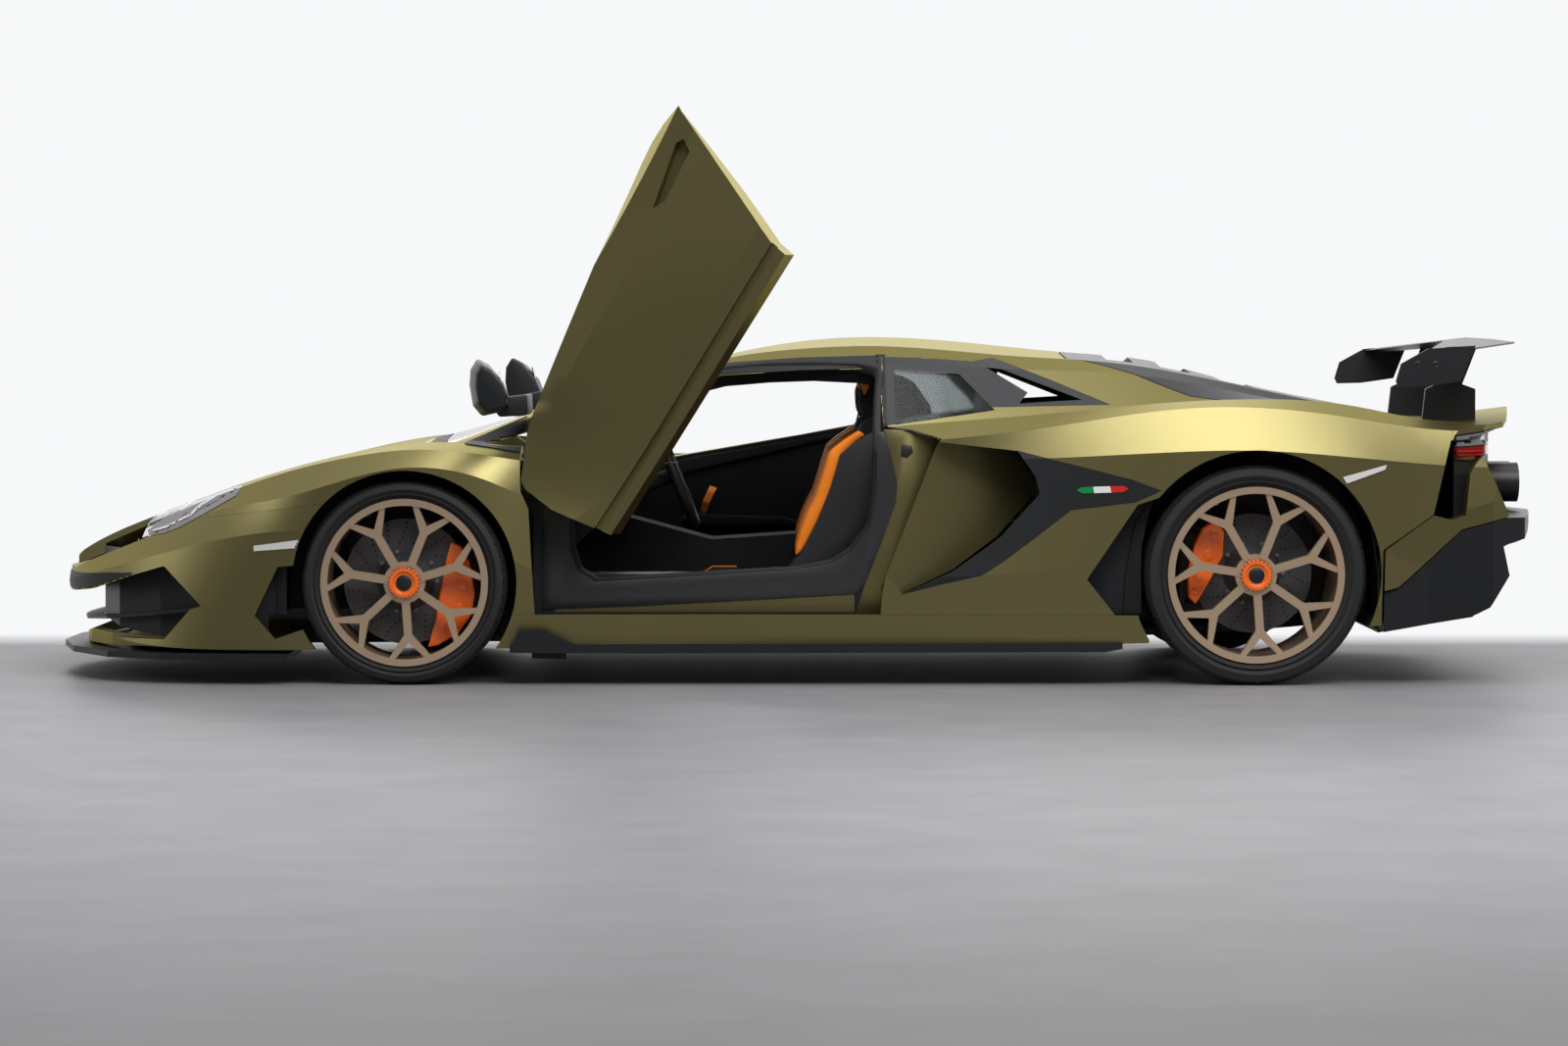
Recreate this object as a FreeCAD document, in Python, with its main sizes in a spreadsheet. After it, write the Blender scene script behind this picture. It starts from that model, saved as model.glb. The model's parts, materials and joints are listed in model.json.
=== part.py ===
import FreeCAD, Part
import Sketcher
import math
import os

V = FreeCAD.Vector

# Scissor-door supercar, parked, with its left door open.
# Axes: +X points to the nose, +Y to the car's left side, +Z up.
# The origin is on the ground, midway along the car, on its centre plane.
# Lengths are in millimetres and angles in degrees.

doc = FreeCAD.newDocument("Supercar")
sheet = doc.addObject("Spreadsheet::Sheet", "Sizes")

DRIVING_DIMENSIONS = [
    ("body_length", 4910.0, "bumper tip to bumper tip"),
    ("body_width", 2098.0, "over the rear wings"),
    ("roof_height", 1105.0, "ground to roof crown"),
    ("front_axle_x", 1262.0, "front axle ahead of the origin"),
    ("wheelbase", 2700.0, "front axle to rear axle"),
    ("front_track", 1720.0, "between front tyre centres"),
    ("rear_track", 1680.0, "between rear tyre centres"),
    ("front_tyre_radius", 325.0, "front tyre, outside"),
    ("rear_tyre_radius", 350.0, "rear tyre, outside"),
    ("front_tyre_width", 255.0, "front tyre section"),
    ("rear_tyre_width", 345.0, "rear tyre section"),
    ("front_rim_radius", 266.0, "front rim flange"),
    ("rear_rim_radius", 280.0, "rear rim flange"),
    ("front_arch_radius", 356.0, "front wheel opening"),
    ("rear_arch_radius", 396.0, "rear wheel opening"),
    ("front_disc_radius", 200.0, "front brake disc"),
    ("rear_disc_radius", 190.0, "rear brake disc"),
    ("disc_thickness", 34.0, "brake disc"),
    ("rim_wall", 8.0, "rim barrel"),
    ("rim_flange", 14.0, "rim flange above the tyre seat"),
    ("hub_radius", 66.0, "rim centre"),
    ("hub_depth", 44.0, "rim centre, front to back"),
    ("spoke_depth", 30.0, "spokes, front to back"),
    ("spoke_width", 26.0, "spoke stem"),
    ("spoke_back", 36.0, "back of the spokes inside the rim's outer edge"),
    ("fork_at", 0.66, "where a spoke forks, for each unit of rim radius"),
    ("spoke_arms", 14.0, "angle from stem to arm at the rim"),
    ("spoke_count", 7, "Y spokes in a rim"),
    ("tyre_wall", 13.0, "tyre carcass"),
    ("bead_gap", 0.3, "between tyre and rim"),
    ("shaft_radius", 24.0, "stub axles"),
    ("stub_reach", 40.0, "stub axles past the steering pins"),
    ("bearing_gap", 0.05, "round shafts and pins"),
    ("kingpin_offset", 60.0, "kingpin inboard of the tyre centre"),
    ("kingpin_radius", 11.0, "steering ball pins"),
    ("pad_gap", 4.0, "between brake disc and caliper"),
    ("seat_gap", 0.3, "where one piece rests against another"),
    ("hinge_pin", 12.0, "door hinge pins"),
    ("lid_pin", 6.0, "bonnet and engine cover hinge pins"),
    ("bonnet_hinge_x", 1130.0, "bonnet hinge ahead of the origin"),
    ("bonnet_hinge_z", 700.0, "bonnet hinge above the ground"),
    ("cover_hinge_x", -1962.0, "engine cover hinge, behind the origin"),
    ("cover_hinge_z", 822.0, "engine cover hinge above the ground"),
    ("skin", 22.0, "outer panels"),
    ("roof_skin", 34.0, "roof, pillars and screen frame"),
    ("door_depth", 120.0, "door from outer skin to inner panel"),
    ("shut_gap", 6.0, "gap round a panel that opens"),
    ("seam_gap", 0.6, "gap between panels that stay"),
    ("door_hinge_x", 929.0, "door hinge ahead of the origin"),
    ("door_hinge_z", 574.0, "door hinge above the ground"),
    ("door_open", 58.5, "angle the doors swing up"),
    ("glass", 6.0, "glazing"),
    ("engine_length", 760.0, "engine block"),
    ("engine_width", 560.0, "engine block"),
    ("engine_height", 470.0, "engine block"),
    ("engine_ahead", 620.0, "engine's front face ahead of the rear axle"),
    ("engine_foot", 205.0, "engine's underside above the ground"),
    ("wall", 30.0, "tub floor and bulkheads"),
    ("liner", 5.0, "wheel arch liners and inner duct walls"),
    ("steer_room", 46.0, "extra room in the floor for the steered wheels"),
]

for row, (alias, size, note) in enumerate(DRIVING_DIMENSIONS, start=1):
    sheet.set("A%d" % row, alias)
    sheet.set("B%d" % row, str(size))
    sheet.set("C%d" % row, note)
    sheet.setAlias("B%d" % row, alias)
doc.recompute()

LENGTH = sheet.get("body_length")
HALF_WIDTH = sheet.get("body_width") / 2
HEIGHT = sheet.get("roof_height")
SKIN = sheet.get("skin")
ROOF_SKIN = sheet.get("roof_skin")
DOOR_DEPTH = sheet.get("door_depth")
SHUT_GAP = sheet.get("shut_gap")
SEAM_GAP = sheet.get("seam_gap")
GLASS = sheet.get("glass")
BEARING_GAP = sheet.get("bearing_gap")
SEAT_GAP = sheet.get("seat_gap")
WALL = sheet.get("wall")
LINER = sheet.get("liner")
LID_PIN = sheet.get("lid_pin")
FRONT_AXLE_X = sheet.get("front_axle_x")
REAR_AXLE_X = FRONT_AXLE_X - sheet.get("wheelbase")
FRONT_ARCH = sheet.get("front_arch_radius")
REAR_ARCH = sheet.get("rear_arch_radius")
FRONT_TYRE = sheet.get("front_tyre_radius")
REAR_TYRE = sheet.get("rear_tyre_radius")
# Cutting blocks run this far past what they cut.
OVERRUN = LENGTH
nodes = []


# Points, outlines and prisms

def at(x_share, y_share, z_share):
    """A point from shares of the car's length, half width and height."""
    return V(x_share * LENGTH, y_share * HALF_WIDTH, z_share * HEIGHT)


def grown(corners, gap):
    """A flat outline moved outward by a gap, corner by corner."""
    if not gap:
        return corners
    area = sum(a[0] * b[1] - b[0] * a[1] for a, b in zip(corners, corners[1:] + corners[:1]))
    turn = 1 if area > 0 else -1
    moved = []
    for before, here, after in zip(corners[-1:] + corners, corners, corners[1:] + corners[:1]):
        ins = (here[0] - before[0], here[1] - before[1])
        outs = (after[0] - here[0], after[1] - here[1])
        run_in = math.hypot(*ins)
        run_out = math.hypot(*outs)
        normal_in = (turn * ins[1] / run_in, -turn * ins[0] / run_in)
        normal_out = (turn * outs[1] / run_out, -turn * outs[0] / run_out)
        scale = gap / (1 + normal_in[0] * normal_out[0] + normal_in[1] * normal_out[1])
        moved.append(
            (
                here[0] + scale * (normal_in[0] + normal_out[0]),
                here[1] + scale * (normal_in[1] + normal_out[1]),
            ),
        )
    return moved


def side_prism(outline_shares, near=-OVERRUN, far=OVERRUN, gap=0):
    """A block with an outline seen from the side, from y near to y far."""
    corners = grown([(x * LENGTH, z * HEIGHT) for x, z in outline_shares], gap)
    points = [V(x, near, z) for x, z in corners]
    face = Part.Face(Part.makePolygon(points + points[:1]))
    return face.extrude(V(0, far - near, 0))


def plan_prism(outline_shares, bottom=-OVERRUN, top=OVERRUN, gap=0):
    """A block with an outline seen from above, from z bottom to z top."""
    corners = grown([(x * LENGTH, y * HALF_WIDTH) for x, y in outline_shares], gap)
    points = [V(x, y, bottom) for x, y in corners]
    face = Part.Face(Part.makePolygon(points + points[:1]))
    return face.extrude(V(0, 0, top - bottom))


def block(x_from, x_to, y_from, y_to, z_from, z_to):
    """A box between two corners."""
    return Part.makeBox(x_to - x_from, y_to - y_from, z_to - z_from, V(x_from, y_from, z_from))


def mirrored(shape):
    """The same shape on the car's other side."""
    return shape.mirror(V(0, 0, 0), V(0, 1, 0))


def both_sides(shape):
    """A shape and its mirror image, as separate solids."""
    return Part.makeCompound([shape, mirrored(shape)])


def rod(start, end, radius):
    """A round bar between two points."""
    return Part.makeCylinder(radius, (end - start).Length, start, end - start)


def add_node(label, shape):
    """A sub-part whose shape no simpler feature makes."""
    feature = doc.addObject("Part::Feature", label)
    feature.Label = label
    feature.Shape = shape
    feature.Placement = shape.Placement
    nodes.append(feature)
    return feature


# The outer form: lengthwise creases joined by ruled strips

FLOOR_EDGE_shares = [
    (0.4957, 0.143, 0.237), (0.4878, 0.400, 0.217), (0.4664, 0.648, 0.154),
    (0.4318, 0.810, 0.113), (0.3768, 0.901, 0.100), (0.3055, 0.915, 0.100),
    (0.1833, 0.906, 0.104), (0.0000, 0.906, 0.107), (-0.1426, 0.929, 0.113),
    (-0.2929, 0.953, 0.136), (-0.3870, 0.929, 0.181), (-0.4481, 0.887, 0.235),
    (-0.4929, 0.858, 0.271),
]
LOWER_CREASE_shares = [
    (0.4957, 0.162, 0.271), (0.4878, 0.410, 0.282), (0.4664, 0.620, 0.312),
    (0.4314, 0.763, 0.355), (0.3597, 0.901, 0.430), (0.3301, 0.939, 0.443),
    (0.2570, 0.968, 0.425), (0.1847, 0.939, 0.353), (0.1670, 0.920, 0.312),
    (0.0000, 0.917, 0.303), (-0.1018, 0.939, 0.312), (-0.1833, 0.968, 0.344),
    (-0.2929, 1, 0.380), (-0.3727, 0.972, 0.398), (-0.4277, 0.915, 0.434),
    (-0.4929, 0.858, 0.471),
]
WAIST_shares = [
    (0.4957, 0.157, 0.284), (0.4878, 0.381, 0.306), (0.4664, 0.572, 0.357),
    (0.4314, 0.705, 0.412), (0.3870, 0.801, 0.489), (0.3301, 0.920, 0.543),
    (0.2570, 0.963, 0.624), (0.2037, 0.939, 0.588), (0.1815, 0.917, 0.548),
    (0.1018, 0.904, 0.557), (0.0000, 0.891, 0.579), (-0.0884, 0.891, 0.633),
    (-0.1629, 0.939, 0.652), (-0.2407, 0.987, 0.670), (-0.2929, 1, 0.674),
    (-0.3513, 0.982, 0.656), (-0.4073, 0.915, 0.633), (-0.4929, 0.848, 0.624),
]
SHOULDER_shares = [
    (0.4957, 0.153, 0.295), (0.4878, 0.343, 0.330), (0.4664, 0.515, 0.389),
    (0.4314, 0.648, 0.452), (0.3870, 0.744, 0.529), (0.3301, 0.839, 0.615),
    (0.2851, 0.887, 0.659), (0.2570, 0.901, 0.674), (0.2037, 0.906, 0.659),
    (0.1815, 0.901, 0.644), (0.1018, 0.891, 0.653), (0.0000, 0.882, 0.674),
    (-0.0884, 0.887, 0.703), (-0.1629, 0.915, 0.742), (-0.2407, 0.939, 0.791),
    (-0.2929, 0.939, 0.796), (-0.3513, 0.915, 0.769), (-0.4222, 0.858, 0.729),
    (-0.4929, 0.820, 0.787),
]
BELT_shares = [
    (0.4957, 0.143, 0.302), (0.4878, 0.286, 0.348), (0.4664, 0.410, 0.407),
    (0.4314, 0.534, 0.471), (0.3870, 0.610, 0.543), (0.3301, 0.667, 0.624),
    (0.2851, 0.724, 0.671), (0.2570, 0.753, 0.690), (0.2037, 0.763, 0.688),
    (0.1815, 0.763, 0.681), (0.1018, 0.763, 0.695), (0.0000, 0.763, 0.720),
    (-0.0884, 0.782, 0.751), (-0.1629, 0.791, 0.778), (-0.2407, 0.810, 0.810),
    (-0.2929, 0.810, 0.819), (-0.3513, 0.801, 0.805), (-0.4222, 0.782, 0.748),
    (-0.4929, 0.744, 0.805),
]
CENTRE_shares = [
    (0.4957, 0.000, 0.306), (0.4878, 0.000, 0.355), (0.4776, 0.000, 0.380),
    (0.4420, 0.000, 0.436), (0.3831, 0.000, 0.536), (0.3116, 0.000, 0.615),
    (0.2525, 0.000, 0.668), (0.1833, 0.000, 0.681), (0.0000, 0.000, 0.697),
    (-0.2037, 0.000, 0.742), (-0.3401, 0.000, 0.787), (-0.4338, 0.000, 0.760),
    (-0.4929, 0.000, 0.800),
]

CABIN_BASE_shares = [
    (0.2546, 0.610, 0.624), (0.1018, 0.658, 0.624), (-0.1426, 0.658, 0.624),
    (-0.4073, 0.534, 0.624),
]
CABIN_BELT_shares = [
    (0.2546, 0.610, 0.671), (0.2240, 0.658, 0.681), (0.1815, 0.710, 0.688),
    (0.0782, 0.753, 0.706), (-0.0530, 0.758, 0.735), (-0.1833, 0.753, 0.760),
    (-0.2851, 0.667, 0.778), (-0.4073, 0.534, 0.724),
]
WINDOW_TOP_shares = [
    (0.2546, 0.572, 0.675), (0.2242, 0.596, 0.693), (0.1868, 0.610, 0.753),
    (0.1018, 0.601, 0.847), (0.0530, 0.572, 0.903), (0.0000, 0.572, 0.914),
    (-0.0489, 0.562, 0.918), (-0.1426, 0.534, 0.905), (-0.2138, 0.505, 0.891),
    (-0.2851, 0.458, 0.842), (-0.4073, 0.419, 0.746),
]
ROOF_EDGE_shares = [
    (0.2546, 0.496, 0.681), (0.2242, 0.534, 0.704), (0.1868, 0.543, 0.765),
    (0.1018, 0.520, 0.873), (0.0530, 0.477, 0.934), (0.0000, 0.448, 0.965),
    (-0.0489, 0.439, 0.973), (-0.1426, 0.429, 0.943), (-0.2037, 0.419, 0.925),
    (-0.2851, 0.400, 0.864), (-0.4073, 0.362, 0.757),
]
ROOF_CENTRE_shares = [
    (0.2546, 0.000, 0.688), (0.1868, 0.000, 0.771), (0.1018, 0.000, 0.885),
    (0.0509, 0.000, 0.947), (0.0000, 0.000, 0.988), (-0.0354, 0.000, 1),
    (-0.1014, 0.000, 0.989), (-0.1823, 0.000, 0.954), (-0.2375, 0.000, 0.930),
    (-0.2866, 0.000, 0.876), (-0.3587, 0.000, 0.807), (-0.4073, 0.000, 0.765),
]

# Which way the inner face of each crease lies: up at the floor, down on top.
OUTER_CREASES = [
    (FLOOR_EDGE_shares, 1),
    (LOWER_CREASE_shares, 0),
    (WAIST_shares, 0),
    (SHOULDER_shares, -1),
    (BELT_shares, -1),
]
CABIN_CREASES = [
    (CABIN_BASE_shares, 0),
    (CABIN_BELT_shares, 0),
    (WINDOW_TOP_shares, -1),
    (ROOF_EDGE_shares, -1),
]


def crease_points(shares, rise, inset, skipped):
    """The points of one crease, moved in by the skin's thickness."""
    points = [at(*share) for share in shares]
    moved = [V(p.x, p.y - inset * (p.y > 0), p.z + rise * inset) for p in points[skipped:]]
    moved[-1].x += inset
    return moved


def curve(points):
    """A smooth edge through some points."""
    spline = Part.BSplineCurve()
    spline.interpolate(Points=points)
    return spline.toShape()


def creased_solid(creases, centre_shares, inset=0.0, skipped=0):
    """A closed body between the left creases, the crown and their mirror images."""
    left = [crease_points(shares, rise, inset, skipped) for shares, rise in creases]
    crown = crease_points(centre_shares, -1, inset, skipped)
    right = [[V(p.x, -p.y, p.z) for p in points] for points in reversed(left)]
    for points in left + [crown] + right:
        points[0].x = left[0][0].x
    ring = [curve(points) for points in left + [crown] + right]
    strips = [Part.makeRuledSurface(a, b) for a, b in zip(ring, ring[1:] + ring[:1])]
    ends = []
    for end in (0, -1):
        corners = [points[end] for points in left + [crown] + right]
        ends.append(Part.Face(Part.makePolygon(corners + corners[:1])))
    shell = Part.makeShell(strips + ends)
    shell.sewShape()
    solid = Part.makeSolid(shell)
    if solid.Volume < 0:
        solid.reverse()
    return solid


outer_form = creased_solid(OUTER_CREASES, CENTRE_shares)
cabin_form = creased_solid(CABIN_CREASES, ROOF_CENTRE_shares)
outer_void = creased_solid(OUTER_CREASES, CENTRE_shares, SKIN, 2)
cabin_void = creased_solid(CABIN_CREASES, ROOF_CENTRE_shares, ROOF_SKIN, 1)
glass_void = creased_solid(CABIN_CREASES, ROOF_CENTRE_shares, GLASS)


# Wheel arches

ARCH_DEPTH_share = 0.55


def arch(axle_x, axle_z, radius):
    """The space of one pair of wheels, cut through the outer panels."""
    near = at(0, ARCH_DEPTH_share, 0).y
    left = Part.makeCylinder(radius, OVERRUN, V(axle_x, near, axle_z), V(0, 1, 0))
    return left.fuse(mirrored(left))


arches = arch(FRONT_AXLE_X, FRONT_TYRE, FRONT_ARCH).fuse(arch(REAR_AXLE_X, REAR_TYRE, REAR_ARCH))
steer_arch = arch(FRONT_AXLE_X, FRONT_TYRE, FRONT_ARCH + sheet.get("steer_room"))
outer_skin = outer_form.cut([outer_void, cabin_form, arches])
cabin_shell = cabin_form.cut(cabin_void)
glass_shell = cabin_form.cut(glass_void)


# Shut lines, seen from the side or from above

DOOR_shares = [
    (0.1670, 0.207), (0.1745, 0.391), (0.1731, 0.489), (0.1703, 0.514), (0.1426, 0.574),
    (0.1293, 0.590), (0.0782, 0.630), (0.0000, 0.690), (-0.0530, 0.735), (-0.0713, 0.726),
    (-0.0884, 0.703), (-0.0864, 0.688), (-0.0536, 0.318), (-0.0481, 0.259), (-0.0464, 0.207),
]
BUMPER_shares = [
    (0.5092, 0.000), (0.5092, 0.313), (0.4857, 0.319), (0.4481, 0.384), (0.3961, 0.473),
    (0.3104, 0.520), (0.2570, 0.520), (0.2570, 0.000),
]
FENDER_REAR_shares = [
    (0.1853, 1), (0.1827, 0.652), (0.1819, 0.554), (0.1770, 0.507), (0.1731, 0.204),
    (0.1731, 0.000),
]
TAIL_shares = [
    (-0.4224, 1), (-0.4224, 0.729), (-0.4165, 0.641), (-0.4079, 0.489), (-0.3743, 0.389),
    (-0.3743, 0.000), (-0.5295, 0.000), (-0.5295, 1),
]
BONNET_shares = [
    (0.4864, -0.315), (0.4864, 0.315), (0.4318, 0.477), (0.3462, 0.582), (0.2648, 0.682),
    (0.2261, 0.713), (0.2261, 0.672), (0.2597, 0.624), (0.2597, -0.624), (0.2261, -0.672),
    (0.2261, -0.713), (0.2648, -0.682), (0.3462, -0.582), (0.4318, -0.477),
]
ENGINE_COVER_shares = [
    (-0.1772, -0.396), (-0.1772, 0.396), (-0.2570, 0.572), (-0.3788, 0.534), (-0.3961, 0.410),
    (-0.3961, -0.410), (-0.3788, -0.534), (-0.2570, -0.572),
]
SCREEN_shares = [
    (0.2570, -0.610), (0.2570, 0.610), (0.2240, 0.562), (0.1018, 0.534), (0.0631, 0.481),
    (0.0550, 0.381), (0.0550, -0.381), (0.0631, -0.481), (0.1018, -0.534), (0.2240, -0.562),
]
WINDOW_shares = [
    (0.1813, 0.633), (0.2037, 0.690), (0.1833, 0.717), (0.1018, 0.819), (0.0530, 0.887),
    (0.0000, 0.901), (-0.0509, 0.907), (-0.0534, 0.735), (0.0000, 0.690), (0.0782, 0.633),
]
QUARTER_WINDOW_shares = [
    (-0.0611, 0.744), (-0.0611, 0.903), (-0.1039, 0.891), (-0.1263, 0.786),
]
CHEEK_shares = [
    (-0.1222, 0.910), (-0.1324, 0.905), (-0.1843, 0.816), (-0.1426, 0.805), (-0.1487, 0.837),
]
SIDE_FRAME_shares = [
    (-0.0534, 0.941), (-0.0855, 0.936), (-0.1130, 0.927), (-0.1273, 0.938), (-0.1629, 0.876),
    (-0.2024, 0.802), (-0.1242, 0.795), (-0.0713, 0.754), (-0.0534, 0.740),
]
MOUTH_shares = [
    (0.5295, 0.252), (0.4857, 0.250), (0.4664, 0.264), (0.4379, 0.308), (0.4155, 0.337),
    (0.3896, 0.224), (0.3971, 0.214), (0.4145, 0.127), (0.4603, 0.127), (0.4745, 0.167),
    (0.5295, 0.167),
]
VENT_shares = [
    (0.3389, 0.339), (0.3177, 0.348), (0.3177, 0.167), (0.3409, 0.131), (0.3542, 0.198),
]
SCOOP_shares = [
    (-0.0866, 0.698), (-0.1391, 0.672), (-0.1505, 0.599), (-0.1534, 0.549), (-0.1277, 0.422),
    (-0.0978, 0.326), (-0.0650, 0.260), (-0.0536, 0.318),
]
TRIM_shares = [
    (-0.0650, 0.260), (-0.0978, 0.326), (-0.1277, 0.422), (-0.1534, 0.549), (-0.1505, 0.599),
    (-0.1391, 0.672), (-0.1770, 0.630), (-0.2118, 0.591), (-0.2310, 0.559), (-0.2145, 0.526),
    (-0.1733, 0.503), (-0.1499, 0.422), (-0.1295, 0.354), (-0.1157, 0.315), (-0.0851, 0.284),
]
SIDE_VENT_shares = [
    (-0.2159, 0.519), (-0.2322, 0.543), (-0.2261, 0.476), (-0.2220, 0.392), (-0.2220, 0.167),
    (-0.2081, 0.167), (-0.1835, 0.305),
]
HANDLE_shares = [
    (-0.0674, 0.652), (-0.0721, 0.640), (-0.0678, 0.605), (-0.0320, 0.590), (-0.0240, 0.610),
]
HANDLE_Y_share = 0.8437
DOOR_GROOVE_shares = [
    (0.1833, 0.237), (0.1833, 0.257), (-0.0570, 0.257), (-0.0570, 0.237),
]
SILL_Z_share = 0.2009


def gap_side(outline_shares, gap):
    """A side outline grown all round by a gap, as a block through the car."""
    return side_prism(outline_shares, gap=gap)


def gap_plan(outline_shares, gap, bottom=-OVERRUN, top=OVERRUN):
    """A plan outline grown all round by a gap, from z bottom to z top."""
    return plan_prism(outline_shares, bottom, top, gap)


ROOF_PANEL_shares = [
    (0.0534, -0.953), (0.0534, 0.953), (-0.0560, 0.953), (-0.0560, 0.522), (-0.1760, 0.400),
    (-0.1760, -0.400), (-0.0560, -0.522), (-0.0560, -0.953),
]
SCREEN_BACK_share = 0.0534
DOOR_BACK_share = -0.0367
FLOOR_PLAN_shares = [
    (0.3462, -0.882), (0.3462, 0.882), (-0.3739, 0.882), (-0.3739, -0.882),
]
SILL_PLAN_shares = [
    (0.2037, 1.049), (0.2037, 0.883), (-0.2240, 0.883), (-0.2240, 1.049),
]
DECK_PLAN_shares = [
    (-0.4053, -0.610), (-0.4053, 0.610), (-0.5092, 0.610), (-0.5092, -0.610),
]
REAR_PLAN_shares = [
    (-0.3055, -1.049), (-0.3992, -0.939), (-0.4481, -0.882), (-0.4709, -0.801),
    (-0.4802, -0.572), (-0.4904, -0.286), (-0.4994, 0.000), (-0.4904, 0.286), (-0.4802, 0.572),
    (-0.4709, 0.801), (-0.4481, 0.882), (-0.3992, 0.939), (-0.3055, 1.049),
]
LIP_PLAN_shares = [
    (-0.3055, -1.049), (-0.3992, -0.953), (-0.4230, -0.863), (-0.4440, -0.796),
    (-0.4593, -0.705), (-0.4695, -0.458), (-0.4786, -0.191), (-0.4847, 0.000), (-0.4786, 0.191),
    (-0.4695, 0.458), (-0.4593, 0.705), (-0.4440, 0.796), (-0.4230, 0.863), (-0.3992, 0.953),
    (-0.3055, 1.049),
]
FASCIA_PLAN_shares = [
    (-0.4234, -0.834), (-0.4409, -0.797), (-0.4473, -0.667), (-0.4544, -0.448),
    (-0.4644, -0.238), (-0.4676, 0.000), (-0.4644, 0.238), (-0.4544, 0.448), (-0.4473, 0.667),
    (-0.4409, 0.797), (-0.4234, 0.834), (-0.4234, 0.812), (-0.4373, 0.779), (-0.4424, 0.662),
    (-0.4495, 0.441), (-0.4595, 0.232), (-0.4627, 0.000), (-0.4595, -0.232), (-0.4495, -0.441),
    (-0.4424, -0.662), (-0.4373, -0.779), (-0.4234, -0.812),
]
LAMP_PLAN_shares = [
    (-0.4244, 0.849), (-0.4436, 0.808), (-0.4507, 0.673), (-0.4562, 0.477), (-0.4538, 0.475),
    (-0.4466, 0.671), (-0.4403, 0.796), (-0.4238, 0.831),
]
DUCT_WALL_shares = [
    (0.4786, 0.000), (0.4756, 0.143), (0.4684, 0.372), (0.4521, 0.553), (0.4216, 0.682),
    (0.3829, 0.763), (0.3823, 0.758), (0.4210, 0.677), (0.4513, 0.549), (0.4674, 0.370),
    (0.4745, 0.142), (0.4776, 0.000),
]
BLADE_PLAN_shares = [
    (0.4884, 0.000), (0.4864, 0.162), (0.4786, 0.381), (0.4595, 0.591), (0.4246, 0.739),
    (0.3941, 0.810), (0.3825, 0.760), (0.4214, 0.679), (0.4517, 0.551), (0.4678, 0.371),
    (0.4749, 0.142), (0.4780, 0.000),
]
BLADE_shares = [
    (0.4908, 0.156), (0.4908, 0.165), (0.3809, 0.224), (0.3809, 0.214),
]
CHIN_PLAN_shares = [
    (0.4868, 0.000), (0.4843, 0.181), (0.4756, 0.400), (0.4552, 0.615), (0.4196, 0.763),
    (0.3921, 0.839), (0.3921, 0.801), (0.4155, 0.729), (0.4491, 0.586), (0.4684, 0.386),
    (0.4770, 0.176), (0.4790, 0.000),
]
CHIN_shares = [
    (0.4831, 0.094), (0.4872, 0.101), (0.4872, 0.112), (0.4741, 0.136), (0.3921, 0.123),
    (0.3921, 0.105),
]
STRUT_shares = [
    (0.4776, 0.118), (0.4776, 0.380), (0.4582, 0.380), (0.4664, 0.271), (0.4582, 0.217),
    (0.4664, 0.118),
]
DUCT_Z_shares = (0.1014, 0.3801)
STRUT_Y_shares = (0.2212, 0.2288)
SCOOP_PLAN_shares = [
    (-0.0407, 0.920), (-0.1548, 0.710), (-0.1548, 0.688), (-0.0407, 0.891),
]
SCOOP_ROOM_shares = [
    (-0.0407, 0.890), (-0.1548, 0.687), (-0.1548, 1.049), (-0.0407, 1.049),
]
SCOOP_Z_shares = (0.2443, 0.7149)
DUCT_END_shares = [
    (-0.1503, 0.667), (-0.1552, 0.991), (-0.1593, 0.991), (-0.1548, 0.667),
]
LOUVRE_Y_share = 0.2574
LOUVRE_X_shares = (
    (-0.2057, -0.2240),
    (-0.2424, -0.2627),
    (-0.2831, -0.3055),
)
COVER_LOW_share = 0.5430
DECK_LOW_share = 0.7014
FASCIA_Z_shares = (0.3982, 0.7656)
BRIDGE_X_shares = (-0.4582, -0.4061)
LAMP_Z_shares = (0.6588, 0.6950)
cover_low = at(0, 0, COVER_LOW_share).z
deck_low = at(0, 0, DECK_LOW_share).z
below_deck = block(-OVERRUN, OVERRUN, -OVERRUN, OVERRUN, -OVERRUN, deck_low)
fascia_low = at(0, 0, FASCIA_Z_shares[0]).z
fascia_high = at(0, 0, FASCIA_Z_shares[1]).z
left_half = block(-OVERRUN, OVERRUN, 0, OVERRUN, -OVERRUN, OVERRUN)
sill_top = at(0, 0, SILL_Z_share).z
floor_top = sill_top
DOOR_SIDE_share = 0.905
door_inner = at(0, DOOR_SIDE_share, 0).y - DOOR_DEPTH
bumper_block = side_prism(BUMPER_shares)
tail_block = side_prism(TAIL_shares)
floor_block = plan_prism(FLOOR_PLAN_shares, 0, floor_top)
sill_block = plan_prism(SILL_PLAN_shares, 0, sill_top)
sill_block = sill_block.fuse(mirrored(sill_block))
floor_clear = gap_plan(FLOOR_PLAN_shares, SEAM_GAP, 0, floor_top)
sill_clear = gap_plan(SILL_PLAN_shares, SEAM_GAP, 0, sill_top + SEAM_GAP)
sill_clear = sill_clear.fuse(mirrored(sill_clear))
AHEAD_shares = [(0.6, 1.2), (0.6, 0)]
ahead_of_door = side_prism([AHEAD_shares[0], *FENDER_REAR_shares, AHEAD_shares[1]])
behind_door = block(-OVERRUN, at(DOOR_BACK_share, 0, 0).x, -OVERRUN, OVERRUN, 0, OVERRUN)
screen_back = at(SCREEN_BACK_share, 0, 0).x


def add_pair(label, left_shape):
    """A left node and its mirror image on the right."""
    add_node(label + "_left", left_shape)
    add_node(label + "_right", mirrored(left_shape))


def largest(shape):
    """The main solid of a cut shape."""
    return max(shape.Solids, key=lambda solid: solid.Volume)


# Body panels

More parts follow.
